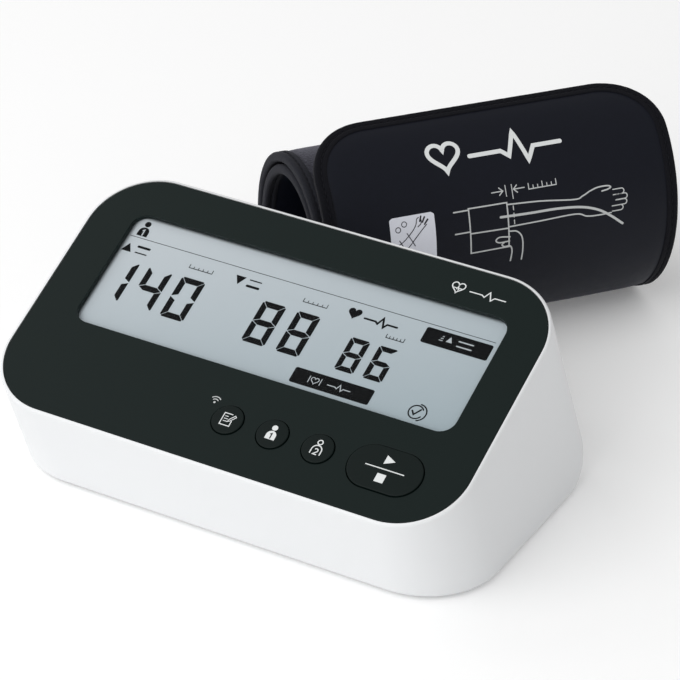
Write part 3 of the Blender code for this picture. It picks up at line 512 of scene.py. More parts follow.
def darker(base, share):
    """A colour times a share; over 1 it is paler."""
    return tuple(channel * share for channel in base[:3])


def moulded(name, base, roughness, grain=0.35 * MM, depth=0.012 * MM, **fixed):
    """Moulded plastic: a fine spark-eroded grain in the surface and the gloss."""
    finish = Finish(name, base, roughness, **fixed)
    where = finish.place()
    fine = finish.noise(where, 1.0 / grain, 4.0)
    broad = finish.noise(where, 18.0, 2.0)
    finish.feed("Base Color", finish.mix(broad * 0.5, base, darker(base, 0.965)))
    finish.feed("Roughness", roughness - 0.05 + fine * 0.1)
    finish.feed("Normal", finish.bump(fine, depth))
    return finish.material


def sheet_metal(name, base, roughness):
    """Plated or drawn metal with faint streaks along Z."""
    finish = Finish(name, base, roughness, 1.0)
    streak = finish.noise(finish.place(scale=(1.0, 1.0, 0.08)), 1400.0, 2.0)
    finish.feed("Roughness", roughness - 0.08 + streak * 0.18)
    finish.feed("Normal", finish.bump(streak, 0.01 * MM))
    return finish.material


def circuit_board(name, base):
    """Solder mask over copper: pale tracks under green, and tinned pads."""
    finish = Finish(name, base, 0.38)
    mortar = {"Mortar Size": 0.03, "Mortar": (1.0, 1.0, 1.0, 1.0)}
    inputs = {"Vector": finish.place(), "Scale": 90.0, **mortar}
    tracks = finish.node("ShaderNodeTexBrick", {}, inputs, 1)
    finish.feed("Base Color", finish.mix(tracks * 0.55, base, (0.06, 0.3, 0.12)))
    finish.feed("Normal", finish.bump(tracks, 0.03 * MM))
    return finish.material


def cell_jacket(name, base):
    """A battery's printed jacket: plain green with a copper band at one end of each cell."""
    finish = Finish(name, base, 0.32)
    along = finish.axis(finish.place(), 1)
    bands = ((along * 95.0).sine() * 6.0 - 4.6).clipped()
    finish.feed("Base Color", finish.mix(bands, base, (0.5, 0.3, 0.14)))
    return finish.material


def display_face(name):
    """The display's grey, with painted shading darker and cooler towards the lower right, and a painted bezel
    shadow along the top and left edges.
    """
    look = colours()
    finish = Finish(name, look.display, 0.42)
    low, high = window_corners()
    tilt = sizes().panel_tilt
    where = finish.place(rotation=(-tilt, 0.0, 0.0))
    across = finish.axis(where, 0)
    along = finish.axis(where, 1)
    rightwards = across - float(low[0])
    downwards = float(high[1]) - along
    wide, tall = float(high[0] - low[0]), float(high[1] - low[1])
    # Painted shading: the share runs from the paler upper left to the darker lower right.
    share = rightwards * (0.55 / wide) + downwards * (0.45 / tall)
    base = finish.mix(share.clipped(), look.display, look.display_shaded_low)
    # Painted shadow of the bezel: a soft dark band along the window's left and top edges, where the panel's edge
    # shades the recessed display.
    left = (1.0 - rightwards / (1.5 * MM)).clipped()
    top = (1.0 - downwards / (1.1 * MM)).clipped()
    edge = (left.power(1.3) + top.power(1.3)).clipped()
    finish.feed("Base Color", finish.mix(edge * 0.8, base, (0.014, 0.02, 0.02)))
    step = FULL_TURN / (0.42 * MM)
    finish.feed("Roughness", 0.42 + ((across * step).sine() + (along * step).sine()) * 0.02)
    return finish.material


def window_glass(name):
    """Clear acrylic with faint smears in its gloss."""
    tint = (0.02, 0.022, 0.024)
    finish = Finish(name, tint, 0.06, IOR=1.49, Alpha=0.045, Specular_IOR_Level=0.2)
    smear = finish.noise(finish.place(), 60.0, 2.0)
    finish.feed("Roughness", 0.04 + smear * 0.05)
    return finish.material


def printed(name, base, roughness=0.55):
    """Screen-printed ink, very slightly uneven."""
    finish = Finish(name, base, roughness, Specular_IOR_Level=0.1)
    speck = finish.noise(finish.place(), 2600.0, 3.0)
    finish.feed("Base Color", finish.mix(speck * 0.4, base, darker(base, 0.86)))
    finish.feed("Normal", finish.bump(speck, 0.006 * MM))
    return finish.material


def satin_cloth(name, base):
    """Smooth nylon: a fine slanting weave, soft broad creases and a faint sheen."""
    finish = Finish(
        name,
        base,
        0.5,
        Specular_IOR_Level=0.16,
        Sheen_Weight=0.03,
        Sheen_Roughness=0.4,
        Sheen_Tint=(0.45, 0.52, 0.85, 1.0),
    )
    where, along, across = finish.cloth_map()
    step = FULL_TURN / (0.45 * MM)
    twill = ((along + across) * step).sine() * 0.5
    twill = twill + ((along - across) * (step * 0.5)).sine() * 0.22
    mottle = finish.noise(where, 320.0, 3.0)
    broad = finish.noise(where, 22.0, 2.0)
    shade = (twill * 0.22 + mottle * 0.5 + broad * 0.35).clipped()
    finish.feed("Base Color", finish.mix(shade, darker(base, 0.75), darker(base, 1.35)))
    finish.feed("Roughness", 0.44 + mottle * 0.12)
    weave = finish.bump(twill, 0.02 * MM, 0.6)
    finish.feed("Normal", finish.bump(broad, 0.5 * MM, 0.35, weave))
    return finish.material


def velour_cloth(name, base):
    """Brushed loop pile: tangled tufts, pale fibre tips and a strong sheen."""
    finish = Finish(
        name,
        base,
        0.95,
        Specular_IOR_Level=0.1,
        Sheen_Weight=0.35,
        Sheen_Roughness=0.5,
        Sheen_Tint=(0.6, 0.6, 0.7, 1.0),
    )
    where = finish.cloth_map()[0]
    tufts = finish.noise(where, 900.0, 5.0, 0.65)
    patches = finish.noise(where, 120.0, 3.0)
    loops = finish.cells(where, 1150.0)
    tips = ((tufts - 0.42) * 2.4).clipped()
    pile = finish.mix(tips, darker(base, 0.45), darker(base, 1.9))
    finish.feed("Base Color", finish.mix(patches * 0.35, pile, darker(base, 0.6)))
    height = tufts + loops * 0.5
    finish.feed("Normal", finish.bump(height, 0.35 * MM, 0.9))
    return finish.material


def woven_tape(name, base):
    """Edge tape: cross ribs along its length, with a rough nap."""
    finish = Finish(
        name,
        base,
        0.85,
        Specular_IOR_Level=0.12,
        Sheen_Weight=0.07,
        Sheen_Roughness=0.4,
        Sheen_Tint=(0.6, 0.6, 0.66, 1.0),
    )
    where, along, across = finish.cloth_map()
    ribs = (along * (FULL_TURN / (0.62 * MM))).sine() * 0.5 + 0.5
    strands = (across * (FULL_TURN / (0.5 * MM))).sine() * 0.5 + 0.5
    nap = finish.noise(where, 1100.0, 4.0, 0.6)
    shade = (ribs * 0.3 + strands * 0.2 + nap * 0.7 - 0.15).clipped()
    finish.feed("Base Color", finish.mix(shade, darker(base, 0.55), darker(base, 2.3)))
    finish.feed("Normal", finish.bump(ribs * 0.5 + strands * 0.3 + nap * 0.6, 0.16 * MM, 0.9))
    return finish.material


def thread(name, base):
    """Sewing thread: plies that twist along each stitch."""
    finish = Finish(name, base, 0.7, Specular_IOR_Level=0.15)
    slant = {"bands_direction": "DIAGONAL"}
    plies = finish.node("ShaderNodeTexWave", slant, {"Vector": finish.place(), "Scale": 900.0})
    finish.feed("Base Color", finish.mix(plies, darker(base, 0.6), darker(base, 1.6)))
    finish.feed("Normal", finish.bump(plies, 0.05 * MM))
    return finish.material


def floor_paint(name, base):
    """White studio floor, lifted a little so that shadows stay soft."""
    white = (1.0, 1.0, 1.0, 1.0)
    finish = Finish(name, base, 0.9, Emission_Color=white, Emission_Strength=0.12)
    broad = finish.noise(finish.place(), 2.0, 2.0)
    finish.feed("Base Color", finish.mix(broad * 0.3, base, darker(base, 0.985)))
    return finish.material


MATERIALS = {}


def make_materials():
    """Every finish, once, by the name of its record slot or its use."""
    look = colours()
    black = (0.012, 0.012, 0.013)
    panel_grain = 0.2 * MM, 0.003 * MM
    button_grain = 0.18 * MM, 0.006 * MM
    button = darker(look.panel, 0.75)
    MATERIALS.update(
        white_plastic=moulded("White moulding", look.white, 0.42),
        dark_panel=moulded(
            "Green-black panel", look.panel, 0.4, *panel_grain, Specular_IOR_Level=0.17
        ),
        button_plastic=moulded(
            "Green-black buttons", button, 0.5, *button_grain, Specular_IOR_Level=0.15
        ),
        clear_window=window_glass("Clear window"),
        # The display's face carries painted shading and a painted shadow of the bezel.
        display_grey=display_face("Display face"),
        ink=printed("Display ink", look.ink, 0.35),
        display_light=printed("Display light", darker(look.display, 0.9), 0.4),
        print_white=printed("White print", look.print_white),
        print_grey=printed("Grey print", darker(look.print_white, 0.72)),
        label=printed("Label", look.label, 0.45),
        label_ink=printed("Label ink", (0.02, 0.02, 0.026)),
        black_plastic=moulded("Black moulding", black, 0.5),
        pale_plastic=moulded("Pale moulding", (0.5, 0.51, 0.53), 0.45),
        board_green=circuit_board("Circuit board", (0.015, 0.13, 0.05)),
        steel=sheet_metal("Plated steel", (0.62, 0.62, 0.64), 0.28),
        motor_can=sheet_metal("Motor can", (0.58, 0.58, 0.6), 0.34),
        rubber=moulded("Rubber", (0.022, 0.022, 0.024), 0.78, 0.5 * MM, 0.03 * MM),
        cell_jacket=cell_jacket("Cell jacket", (0.03, 0.16, 0.06)),
        satin_cloth=satin_cloth("Satin cloth", look.satin),
        velour=velour_cloth("Velour", look.velour),
        binding_tape=woven_tape("Edge tape", look.tape),
        # A paler copy of the edge tape for the roll: a painted highlight.
        roll_tape=woven_tape("Roll tape", look.roll_tape),
        thread=thread("Thread", darker(look.tape, 1.8)),
        bladder_film=moulded("Bladder film", (0.5, 0.52, 0.55), 0.35),
        floor=floor_paint("Floor", (0.93, 0.93, 0.93)),
    )


# The monitor's own places ---------------------------------------------------


def monitor_origin():
    """Middle of the underside: halfway across, and the overhang behind the panel's front edge."""
    size = sizes()
    across = (HOUSING_LOW[0] + HOUSING_HIGH[0]) / 2
    panel_front = corners("front_panel")[0][1]
    along = panel_front + size.panel_overhang + size.base_length / 2
    return np.array([across, along, HOUSING_LOW[2]])


def panel_place(points):
    """World places of (across, along, height) points of the tilted panel."""
    size = sizes()
    slope, rise = math.cos(size.panel_tilt), math.sin(size.panel_tilt)
    front = -size.base_length / 2 - size.panel_overhang
    points = np.asarray(points, float)
    x, z = points[..., 0], points[..., 2]
    y = points[..., 1] + size.panel_length / 2
    rearwards = front + y * slope - z * rise
    upwards = size.panel_height + y * rise + z * slope
    return np.stack([x, rearwards, upwards], -1) + monitor_origin()


def on_panel(outline, height):
    """A flat outline of the panel's plane as points at one height over it."""
    return panel_place(raised(outline, height))


def panel_coordinates(places):
    """World places in the panel's own (across, along, height)."""
    size = sizes()
    slope, rise = math.cos(size.panel_tilt), math.sin(size.panel_tilt)
    x, y, z = np.moveaxis(places - panel_place(np.zeros(3)), -1, 0)
    return np.stack([x, y * slope + z * rise, z * slope - y * rise], -1)


def panel_extent(node):
    """Lowest and highest (across, along, height) of a node."""
    local = panel_coordinates(vertices(frame["nodes"][node].data))
    return local.min(0), local.max(0)


def panel_middle(node):
    """Middle (across, along, height) of a node."""
    low, high = panel_extent(node)
    return (low + high) / 2


def window_half():
    """Half sizes of the window's hole: the pane's own and the gap."""
    low, high = panel_extent("display_window")
    return (high - low)[:2] / 2 + sizes().gap


def window_corners():
    """(across, along) of the window's corners, where along is measured from the world's origin."""
    tilt = sizes().panel_tilt
    half = window_half()
    centre = panel_middle("display_window")[:2]
    ends = on_panel(np.array([centre - half, centre + half]), 0.0)
    along = ends[:, 1] * math.cos(tilt) + ends[:, 2] * math.sin(tilt)
    return (ends[0, 0], along[0]), (ends[1, 0], along[1])


def base_outline(height, inset=0.0):
    """The housing's outline at a height: quarter rounds draw it in near the underside."""
    size = sizes()

    def drawn_in(radius):
        """How far a quarter round of a radius draws the outline in at this height."""
        rise = max(0.0, 1.0 - max(height - inset, 0.0) / radius)
        return radius * (1.0 - math.sqrt(max(0.0, 1.0 - rise * rise)))

    side = inset + drawn_in(size.edge_fillet)
    back = inset + max(drawn_in(size.edge_fillet), drawn_in(size.rear_fillet - inset))
    front = -size.base_length / 2 + side
    rear = size.base_length / 2 - back
    outline = rounded(
        size.width / 2 - side,
        (rear - front) / 2,
        size.base_front_radius - side,
        size.base_rear_radius - inset,
        size.corner_steps,
    )
    return outline + (0.0, (rear + front) / 2)


def panel_ring(grow, height):
    """A ring round the panel, grown outwards and raised over its face, in world places."""
    size = sizes()
    radius = size.panel_corner + grow
    half = size.width / 2 - size.panel_inset + grow, size.panel_length / 2 + grow
    return on_panel(rounded(*half, radius, radius, size.corner_steps), height)


def wall_ring(height, top, inset=0.0):
    """The wall at a height, on straight lines from the base outline to a ring of the panel."""
    origin = monitor_origin()
    foot = base_outline(height, inset)
    crown = top - origin
    share = (height / crown[:, 2])[:, None]
    flat = foot * (1.0 - share) + crown[:, :2] * share
    return raised(flat, height) + origin


def cut(piece, tools):
    """Cuts closed tools out of a piece and keeps the result as its mesh."""
    for tool in tools:
        modifier = piece.modifiers.new("cut", "BOOLEAN")
        modifier.object = tool
        modifier.solver = "MANIFOLD"
    result = finished_mesh(piece)
    piece.modifiers.clear()
    piece.data = result
    for tool in tools:
        bpy.data.objects.remove(tool)


def tool_from(points):
    """A closed cutter from a wrapped grid."""
    surface = Surface()
    surface.grid(points, wrap_columns=True, cap=True)
    return put("tool", surface.mesh("tool"))


LEDGE_WIDTH = 3.0 * MM  # under the panel's edge
LEDGE_THICKNESS = 2.0 * MM
MOUTH_LIP = 2.0 * MM  # from the outer rounding to the opening underneath
HOLE_REACH = 12.0 * MM  # cutter to each side of the wall
HOUSING_CREASE = 32.0


class MONITOR_OT_housing(Operator):
    """White housing with its rolled rim, ledge and inner walls, and the bosses for its screws"""

    bl_idname = "monitor.housing"
    bl_label = "Housing"

    def execute(self, context):
        size = sizes()
        rim = panel_ring(size.rim_width, -size.rim_drop)
        ledge = -size.panel_thickness - size.gap
        ledge_end = panel_ring(-LEDGE_WIDTH, ledge - LEDGE_THICKNESS)
        crown = panel_ring(size.rim_width - size.wall, ledge - LEDGE_THICKNESS)
        turn = np.linspace(0.0, math.pi / 2, 15)
        small = size.edge_fillet * (1.0 - np.cos(turn[1:]))
        large = size.rear_fillet * (1.0 - np.cos(turn[4:]))
        heights = [*small, *large, size.rear_fillet + 0.8 * MM]
        rolled, lifted = arc(0.0, 90.0, 7)
        top = [
            panel_ring(size.gap + (size.rim_width - size.gap) * out, size.rim_drop * (up - 1.0))
            for out, up in zip(rolled, lifted)
        ]
        near_rim = rim + (wall_ring(size.rear_fillet, rim) - rim) * 0.012
        mouth = self.mouth()
        rings = [wall_ring(0.0, rim)]
        rings += [wall_ring(height, rim) for height in heights]
        rings += [near_rim, *top]
        rings += [panel_ring(size.gap, ledge), panel_ring(-LEDGE_WIDTH, ledge), ledge_end, crown]
        for share in (1.0, 0.68, 0.42, 0.24):
            rings.append(wall_ring(share * size.rear_fillet, crown, size.wall))
        rings += [mouth + size.wall * UP, mouth]
        surface = Surface()
        surface.grid(np.stack(rings), wrap_rows=True, wrap_columns=True)
        shell = surface.build(
            "monitor_shell", "white_plastic", "monitor", ("housing_shell",), HOUSING_CREASE
        )
        cut(shell, [self.hole("air_jack", 0, -1), self.hole("power_socket", 1, 1)])
        shell.data.shade_smooth()
        shell.data.set_sharp_from_angle(angle=math.radians(HOUSING_CREASE))
        self.bosses()
        return {"FINISHED"}

    def hole(self, node, side, end):
        """A round cutter on an axis (0 across, 1 rearwards), at a node's low or high end."""
        low, high = corners(node)
        radius = (high[2] - low[2]) / 2 + sizes().gap
        place = middle(node)
        place[side] = (low if end < 0 else high)[side]
        wall = [(radius, -HOLE_REACH), (radius, HOLE_REACH)]
        return tool_from(aimed(turned(wall, 48), np.eye(3)[side], place))

    def mouth(self):
        """The opening of the underside, level with the base plate's edge."""
        size = sizes()
        side = size.edge_fillet + MOUTH_LIP
        front = -size.base_length / 2 + side
        rear = size.base_length / 2 - size.rear_fillet - MOUTH_LIP
        outline = rounded(
            size.width / 2 - side,
            (rear - front) / 2,
            size.base_front_radius - side,
            size.base_rear_radius - MOUTH_LIP,
            size.corner_steps,
        )
        return raised(outline + (0.0, (rear + front) / 2), 0.0) + monitor_origin()

    def bosses(self):
        """A hollow boss round each case screw: a profile turned about the screw's axis."""
        surface = Surface()
        for index in range(1, 5):
            place = middle(f"case_screw_{index}")
            place[2] = HOUSING_LOW[2]
            profile = [(1.8, 4.4), (4.2, 4.4), (4.2, 21.6), (3.8, 22.0), (0.0, 22.0)]
            profile += [(0.0, 14.3), (1.8, 14.3), (1.8, 4.4)]
            surface.grid(turned(np.array(profile) * MM, 32) + place, wrap_columns=True)
        surface.build("screw_bosses", "white_plastic", "monitor")


def turned_piece(name, profile, axis, place, look, node):
    """A turned shape in a node's place: (radius, height) in millimetres carried round an axis."""
    surface = Surface()
    surface.grid(aimed(turned(np.array(profile) * MM), axis, place), wrap_columns=True)
    return surface.build(name, look, "monitor", (node,), 30.0)


class MONITOR_OT_underside(Operator):
    """Rubber feet and the battery cover with its grip"""

    bl_idname = "monitor.underside"
    bl_label = "Underside"

    def execute(self, context):
        for index in range(1, 5):
            node = f"foot_{index}"
            low, high = corners(node)
            place = middle(node)
            place[2] = low[2]
            wide = (high[0] - low[0]) / 2 / MM
            tall = (high[2] - low[2]) / MM
            profile = [(0.0, 0.25), (wide - 1.6, 0.25), (wide - 1.3, 0.0), (wide - 0.5, 0.0)]
            profile += [(wide - 0.15, 0.12), (wide, 0.45), (wide, tall), (0.0, tall)]
            turned_piece(f"rubber_{node}", profile, UP, place, "rubber", node)
        self.cover()
        return {"FINISHED"}

    def cover(self):
        """A plate with rounded edges, and grip ribs that shorten away from its rear edge."""
        low, high = corners("battery_cover")
        half = (high - low)[:2] / 2
        centre = (low + high)[:2] / 2
        surface = Surface()
        corner = 2.2 * MM, 2.2 * MM
        steps = ((0.9, 0.0), (0.35, 0.08), (0.0, 0.5), (0.0, 1.7), (0.35, 2.0))
        rings = []
        for inset, level in steps:
            outline = rounded(*(half - inset * MM), *corner, 6) + centre
            rings.append(raised(outline, low[2] + level * MM))
        surface.grid(np.stack(rings), wrap_columns=True, cap=True)
        for row in range(5):
            y = high[1] - (5.0 + 1.7 * row) * MM
            reach = (9.0 - 1.5 * row) * MM
            outline = rounded(reach, 0.42 * MM, 0.4 * MM, 0.4 * MM, 4) + (centre[0], y)
            rib = [raised(outline, low[2] + level * MM) for level in (-0.35, 0.4)]
            surface.grid(np.stack(rib), wrap_columns=True, cap=True)
        surface.build("battery_door", "white_plastic", "battery_cover", ("battery_cover",), 30.0)


class MONITOR_OT_sockets(Operator):
    """Air jack in the left side and power socket in the rear"""

    bl_idname = "monitor.sockets"
    bl_label = "Sockets"

    def execute(self, context):
        place = middle("air_jack")
        place[0] = corners("air_jack")[0][0]
        jack = [(0.0, -12.0), (4.2, -12.0), (4.2, -0.5), (4.6, -0.1), (5.0, 0.0), (6.5, 0.0)]
        jack += [(6.9, -0.15), (7.0, -0.5), (7.0, -15.0), (3.0, -15.0), (2.2, -15.4), (2.2, -18.0)]
        jack += [(2.6, -18.4), (2.2, -19.6), (1.9, -20.0), (0.0, -20.0)]
        left = (-1.0, 0.0, 0.0)
        turned_piece("air_connector", jack, left, place, "pale_plastic", "air_jack")

        place = middle("power_socket")
        place[1] = corners("power_socket")[1][1]
        socket = [(0.0, -1.0), (0.6, -1.0), (0.9, -1.4), (0.9, -9.0), (3.0, -9.0), (3.0, -0.4)]
        socket += [(3.3, -0.1), (5.1, 0.0), (5.4, -0.1), (5.5, -0.4), (5.5, -15.0), (0.0, -15.0)]
        rearwards = (0.0, 1.0, 0.0)
        turned_piece("power_inlet", socket, rearwards, place, "black_plastic", "power_socket")
        return {"FINISHED"}


# Panel, window and buttons --------------------------------------------------

BUTTONS = ("memory", "user_1", "user_2", "start_stop")
ROUND_BUTTON = 5.85 * MM  # radius
LARGE_BUTTON = (14.0 * MM, 8.7 * MM)  # half width and half height
PLATE_CREASE = 12.0


def button_place(name):
    """Middle of a button in the panel's plane."""
    return panel_middle(f"{name}_button")[:2]


def button_outline(name, grow):
    """A circle or, for the large button, two half circles joined by straight sides."""
    if name == "start_stop":
        half = LARGE_BUTTON[0] + grow, LARGE_BUTTON[1] + grow
        radius = half[1] - 0.01 * MM
        return rounded(*half, radius, radius, sizes().corner_steps)
    return circle(ROUND_BUTTON + grow, 96)


class MONITOR_OT_panel(Operator):
    """Dark front panel with the window and button holes, edges just broken, and the clear window"""

    bl_idname = "monitor.front_panel"
    bl_label = "Front panel"

    def execute(self, context):
        size = sizes()
        edge = 0.18 * MM
        half = size.width / 2 - size.panel_inset, size.panel_length / 2
        outlines = [rounded(*half, size.panel_corner, size.panel_corner, size.corner_steps)]
        window = rounded(*window_half(), size.window_corner, size.window_corner, 16)
        centre = panel_middle("display_window")[:2]
        outlines.append(window + centre)
        for name in BUTTONS:
            outlines.append(button_outline(name, size.gap) + button_place(name))
        panel = flat_piece(outlines, size.panel_thickness, edge)
        place_mesh(panel, -size.panel_thickness / 2)
        settle(panel, "front_face", "dark_panel", "monitor", ("front_panel",), PLATE_CREASE)

        pane = window_half() - size.gap
        corner = size.window_corner - size.gap
        glass = flat_piece([rounded(*pane, corner, corner, 16) + centre], 1.2 * MM, 0.1 * MM)
        place_mesh(glass, panel_middle("display_window")[2])
        settle(
            glass, "window_pane", "clear_window", "monitor", ("display_window",), PLATE_CREASE
        )
        return {"FINISHED"}


def flat_piece(outlines, thickness, edge):
    """A flat plate with holes: outlines filled, extruded both ways, and their edges rounded."""
    curve = bpy.data.curves.new("plate", "CURVE")
    curve.dimensions = "2D"
    curve.fill_mode = "BOTH"
    curve.extrude = thickness / 2 - edge
    curve.bevel_depth = edge
    curve.bevel_resolution = 2
    curve.offset = -edge
    for outline in outlines:
        spline = curve.splines.new("POLY")
        spline.points.add(len(outline) - 1)
        flat = raised(raised(outline, 0.0), 1.0)
        spline.points.foreach_set("co", flat.astype(np.float32).ravel())
        spline.use_cyclic_u = True
    holder = put("plate", curve)
    mesh = finished_mesh(holder)
    bpy.data.objects.remove(holder)
    bpy.data.curves.remove(curve)
    tidy_mesh(mesh, True)
    return mesh


def place_mesh(mesh, height):
    """Moves a flat plate's mesh onto the tilted panel, its middle at a height."""
    mesh.vertices.foreach_set("co", panel_place(vertices(mesh) + height * UP).ravel())
    mesh.update()


def crown_height(share):
    """Height of a button's domed top, from its rim (share 1) to its middle (share 0)."""
    size = sizes()
    return size.button_rise + size.button_crown * (1.0 - share * share)


class MONITOR_OT_buttons(Operator):
    """Four push buttons: a flange under the panel, a rounded edge and a slightly domed top"""

    bl_idname = "monitor.buttons"
    bl_label = "Buttons"

    def execute(self, context):
        size = sizes()
        flange = -size.panel_thickness - size.gap
        under = flange - 1.0 * MM
        stem_end = -4.2 * MM
        edge = 0.32 * MM
        for name in BUTTONS:
            centre = button_place(name)
            top = size.button_rise
            outline = button_outline(name, 0.0)
            stem = outline / np.linalg.norm(outline, axis=1, keepdims=True) * 2.0 * MM
            rings = [(stem * 0.0, stem_end), (stem, stem_end), (stem, under)]
            wide = button_outline(name, 1.1 * MM)
            rings += [(wide, under), (wide, flange), (outline, flange)]
            for out, up in zip(*arc(0.0, 90.0, 6)):
                rings.append((button_outline(name, edge * (out - 1.0)), top - edge * (1.0 - up)))
            inner = button_outline(name, -edge)
            for share in (0.97, 0.85, 0.68, 0.5, 0.3, 0.12, 0.0):
                rings.append((inner * share, crown_height(share)))
            surface = Surface()
            places = [on_panel(ring + centre, level) for ring, level in rings]
            surface.grid(np.stack(places), wrap_columns=True)
            node = f"{name}_button"
            surface.build(f"{name}_key", "button_plastic", node, (node,), 40.0, "dark_panel")
        return {"FINISHED"}


# Printed symbols ------------------------------------------------------------


class Drawing:
    """Flat shapes in millimetres that are laid on a surface as thin ink."""

    def __init__(self):
        self.points = []
        self.faces = []
        self.count = 0

    def _add(self, points, faces):
        self.points.append(np.asarray(points, float))
        self.faces += [[corner + self.count for corner in face] for face in faces]
        self.count += len(points)

    def fill(self, outline):
        """One flat face inside an outline."""
        self._add(outline, [list(range(len(outline)))])

    def patch(self, low, high, corner, steps=14):
        """A filled rounded rectangle as a grid, so that it can bend with its surface."""
        across = np.linspace(-1.0, 1.0, steps)
        up = np.linspace(low[1], high[1], steps * 2)
        gap = np.minimum(up - low[1], high[1] - up).clip(0.0, corner)
        inset = corner - np.sqrt(np.maximum(corner**2 - (corner - gap) ** 2, 0.0))
        half = (high[0] - low[0]) / 2 - inset
        x = (low[0] + high[0]) / 2 + half[:, None] * across
        points = np.stack([x, np.repeat(up[:, None], steps, 1)], -1).reshape(-1, 2)
        self._add(points, quads(np.arange(len(points)).reshape(len(up), steps)))

    def stroke(self, points, width, closed=False, round_ends=True):
        """A line of even width: the path moved half a width to each side, mitred at its bends."""
        path = dense(np.asarray(points, float), 1.2, closed)
        nearest = np.roll(path, -1, 0) - path
        if not closed:
            nearest[-1] = nearest[-2]
        way = nearest / np.linalg.norm(nearest, axis=1, keepdims=True)
        before = np.roll(way, 1, 0)
        if not closed:
            before[0] = way[0]
        left = leftwards(way)
        normal = left + leftwards(before)
        normal /= np.linalg.norm(normal, axis=1, keepdims=True)
        mitre = (normal * left).sum(1, keepdims=True).clip(0.5, 1.0)
        side = normal * (width / 2) / mitre
        count = len(path)
        last = count if closed else count - 1
        here = np.arange(last)
        there = (here + 1) % count
        faces = np.stack([here + count, there + count, there, here], -1).tolist()
        self._add(np.concatenate([path + side, path - side]), faces)
        if not closed and round_ends:
            for end, turn in ((path[0], way[0]), (path[-1], -way[-1])):
                start = math.atan2(turn[1], turn[0]) + math.pi / 2
                self.fill(bow(end, width / 2, np.linspace(start, start + math.pi, 9)))

    def disc(self, centre, radius):
        """A filled circle."""
        self.fill(circle(radius, 32, centre))

    def ring(self, centre, radius, width, start=0.0, end=360.0):
        """A line round a circle, between two angles in degrees."""
        path = bow(centre, radius, np.radians(np.linspace(start, end, 49)))
        whole = abs(end - start) >= 360.0
        self.stroke(path[:-1] if whole else path, width, whole)

    def lay(self, name, place, look, body, slot, thickness=0.02 * MM):
        """The shapes on a surface: place turns (points, 2) in metres into world places."""
        points = place(np.concatenate(self.points) * MM)
        mesh = bpy.data.meshes.new(name)
        mesh.from_pydata(points.tolist(), [], self.faces)
        mesh.uv_layers.new(name="UVMap")
        piece = settle(mesh, name, look, body, crease=0.0, slot=slot)
        shell = piece.modifiers.new("thickness", "SOLIDIFY")
        shell.thickness = thickness
        shell.offset = -1.0
        return piece


def leftwards(way):
    """Directions turned a quarter circle to the left."""
    return np.stack([-way[:, 1], way[:, 0]], -1)


def dense(path, reach, closed):
    """A path with extra points, so that no step is longer than the reach."""
    ends = np.concatenate([path, path[:1]]) if closed else path
    steps = np.linalg.norm(np.diff(ends, axis=0), axis=1)
    along = np.concatenate([[0.0], np.cumsum(steps)])
    marks = []
    for first, last in zip(along, along[1:]):
        count = max(1, math.ceil((last - first) / reach))
        marks.append(np.linspace(first, last, count, endpoint=False))
    marks = np.concatenate([*marks, [] if closed else along[-1:]])
    return np.stack([np.interp(marks, along, ends[:, axis]) for axis in (0, 1)], -1)


def flowing(points, steps=8):
    """A smooth line through points: a Catmull-Rom cubic between each pair."""
    points = np.asarray(points, float)
    before, after = 2 * points[:1] - points[1:2], 2 * points[-1:] - points[-2:-1]
    padded = np.concatenate([before, points, after])
    t = np.linspace(0.0, 1.0, steps, endpoint=False)[:, None, None]
    a, b, c, d = padded[:-3], padded[1:-2], padded[2:-1], padded[3:]
    square = 2 * a - 5 * b + 4 * c - d
    cube = 3 * b - a - 3 * c + d
    spans = 0.5 * (2 * b + (c - a) * t + square * t**2 + cube * t**3)
    return np.concatenate([spans.transpose(1, 0, 2).reshape(-1, 2), points[-1:]])


def fingertip(tip, level, half=1.05, back=4.6):
    """A drawn finger: two lines joined by a half circle at the tip."""
    bend = bow((tip - half, level), half, np.radians(np.linspace(90.0, -90.0, 9)))
    return [(tip - back, level + half), *bend, (tip - back, level - half)]


def heart(centre, wide, count=48):
    """A heart: the sine and cosine curve usually drawn for one."""
    t = np.linspace(0.0, FULL_TURN, count, endpoint=False)
    x = 16 * np.sin(t) ** 3
    y = 13 * np.cos(t) - 5 * np.cos(2 * t) - 2 * np.cos(3 * t) - np.cos(4 * t) + 2.5
    return np.stack([x, y], -1) * (wide / 32) + centre


def beat(start, end, level, height):
    """A pulse line: flat, a small dip, one tall spike and flat again."""
    shares = ((0.0, 0.0), (0.34, 0.0), (0.42, -0.35), (0.52, 1.0))
    shares += ((0.62, -0.75), (0.7, 0.0), (1.0, 0.0))
    return [(start + (end - start) * along, level + height * up) for along, up in shares]


def person(drawing, centre, scale=1.0, outline=None):
    """A head and shoulders, filled or as an outline of a given width."""
    x, y = centre
    wide, foot = 2.0 * scale, y - 2.6 * scale
    shoulders = bow((x, y - 0.9 * scale), wide, np.radians(np.linspace(180.0, 0.0, 21)))
    body = [(x - wide, foot), *shoulders, (x + wide, foot)]
    head = x, y + 2.5 * scale
    if outline:
        drawing.ring(head, 0.95 * scale, outline)
        drawing.stroke(body, outline)
    else:
        drawing.disc(head, 1.15 * scale)
        drawing.fill(body)


def digit_one(drawing, centre, height, width):
    """A drawn figure 1: a short flag and an upright."""
    x, y = centre
    half = height / 2
    path = [(x - 0.28 * height, y + 0.62 * half), (x, y + half), (x, y - half)]
    drawing.stroke(path, width, round_ends=False)


def digit_two(drawing, centre, height, width):
    """A drawn figure 2: a bow, a slant and a foot."""
    x, y = centre
    bend = np.radians(np.linspace(150.0, -35.0, 12))
    top = bow((x, y + 0.2 * height), 0.3 * height, bend)
    foot = [(x - 0.3 * height, y - 0.5 * height), (x + 0.34 * height, y - 0.5 * height)]
    drawing.stroke([*top, *foot], width, round_ends=False)


SEGMENTS = {"0": "abcdef", "1": "bc", "4": "fgbc", "6": "afgedc", "8": "abcdefg"}


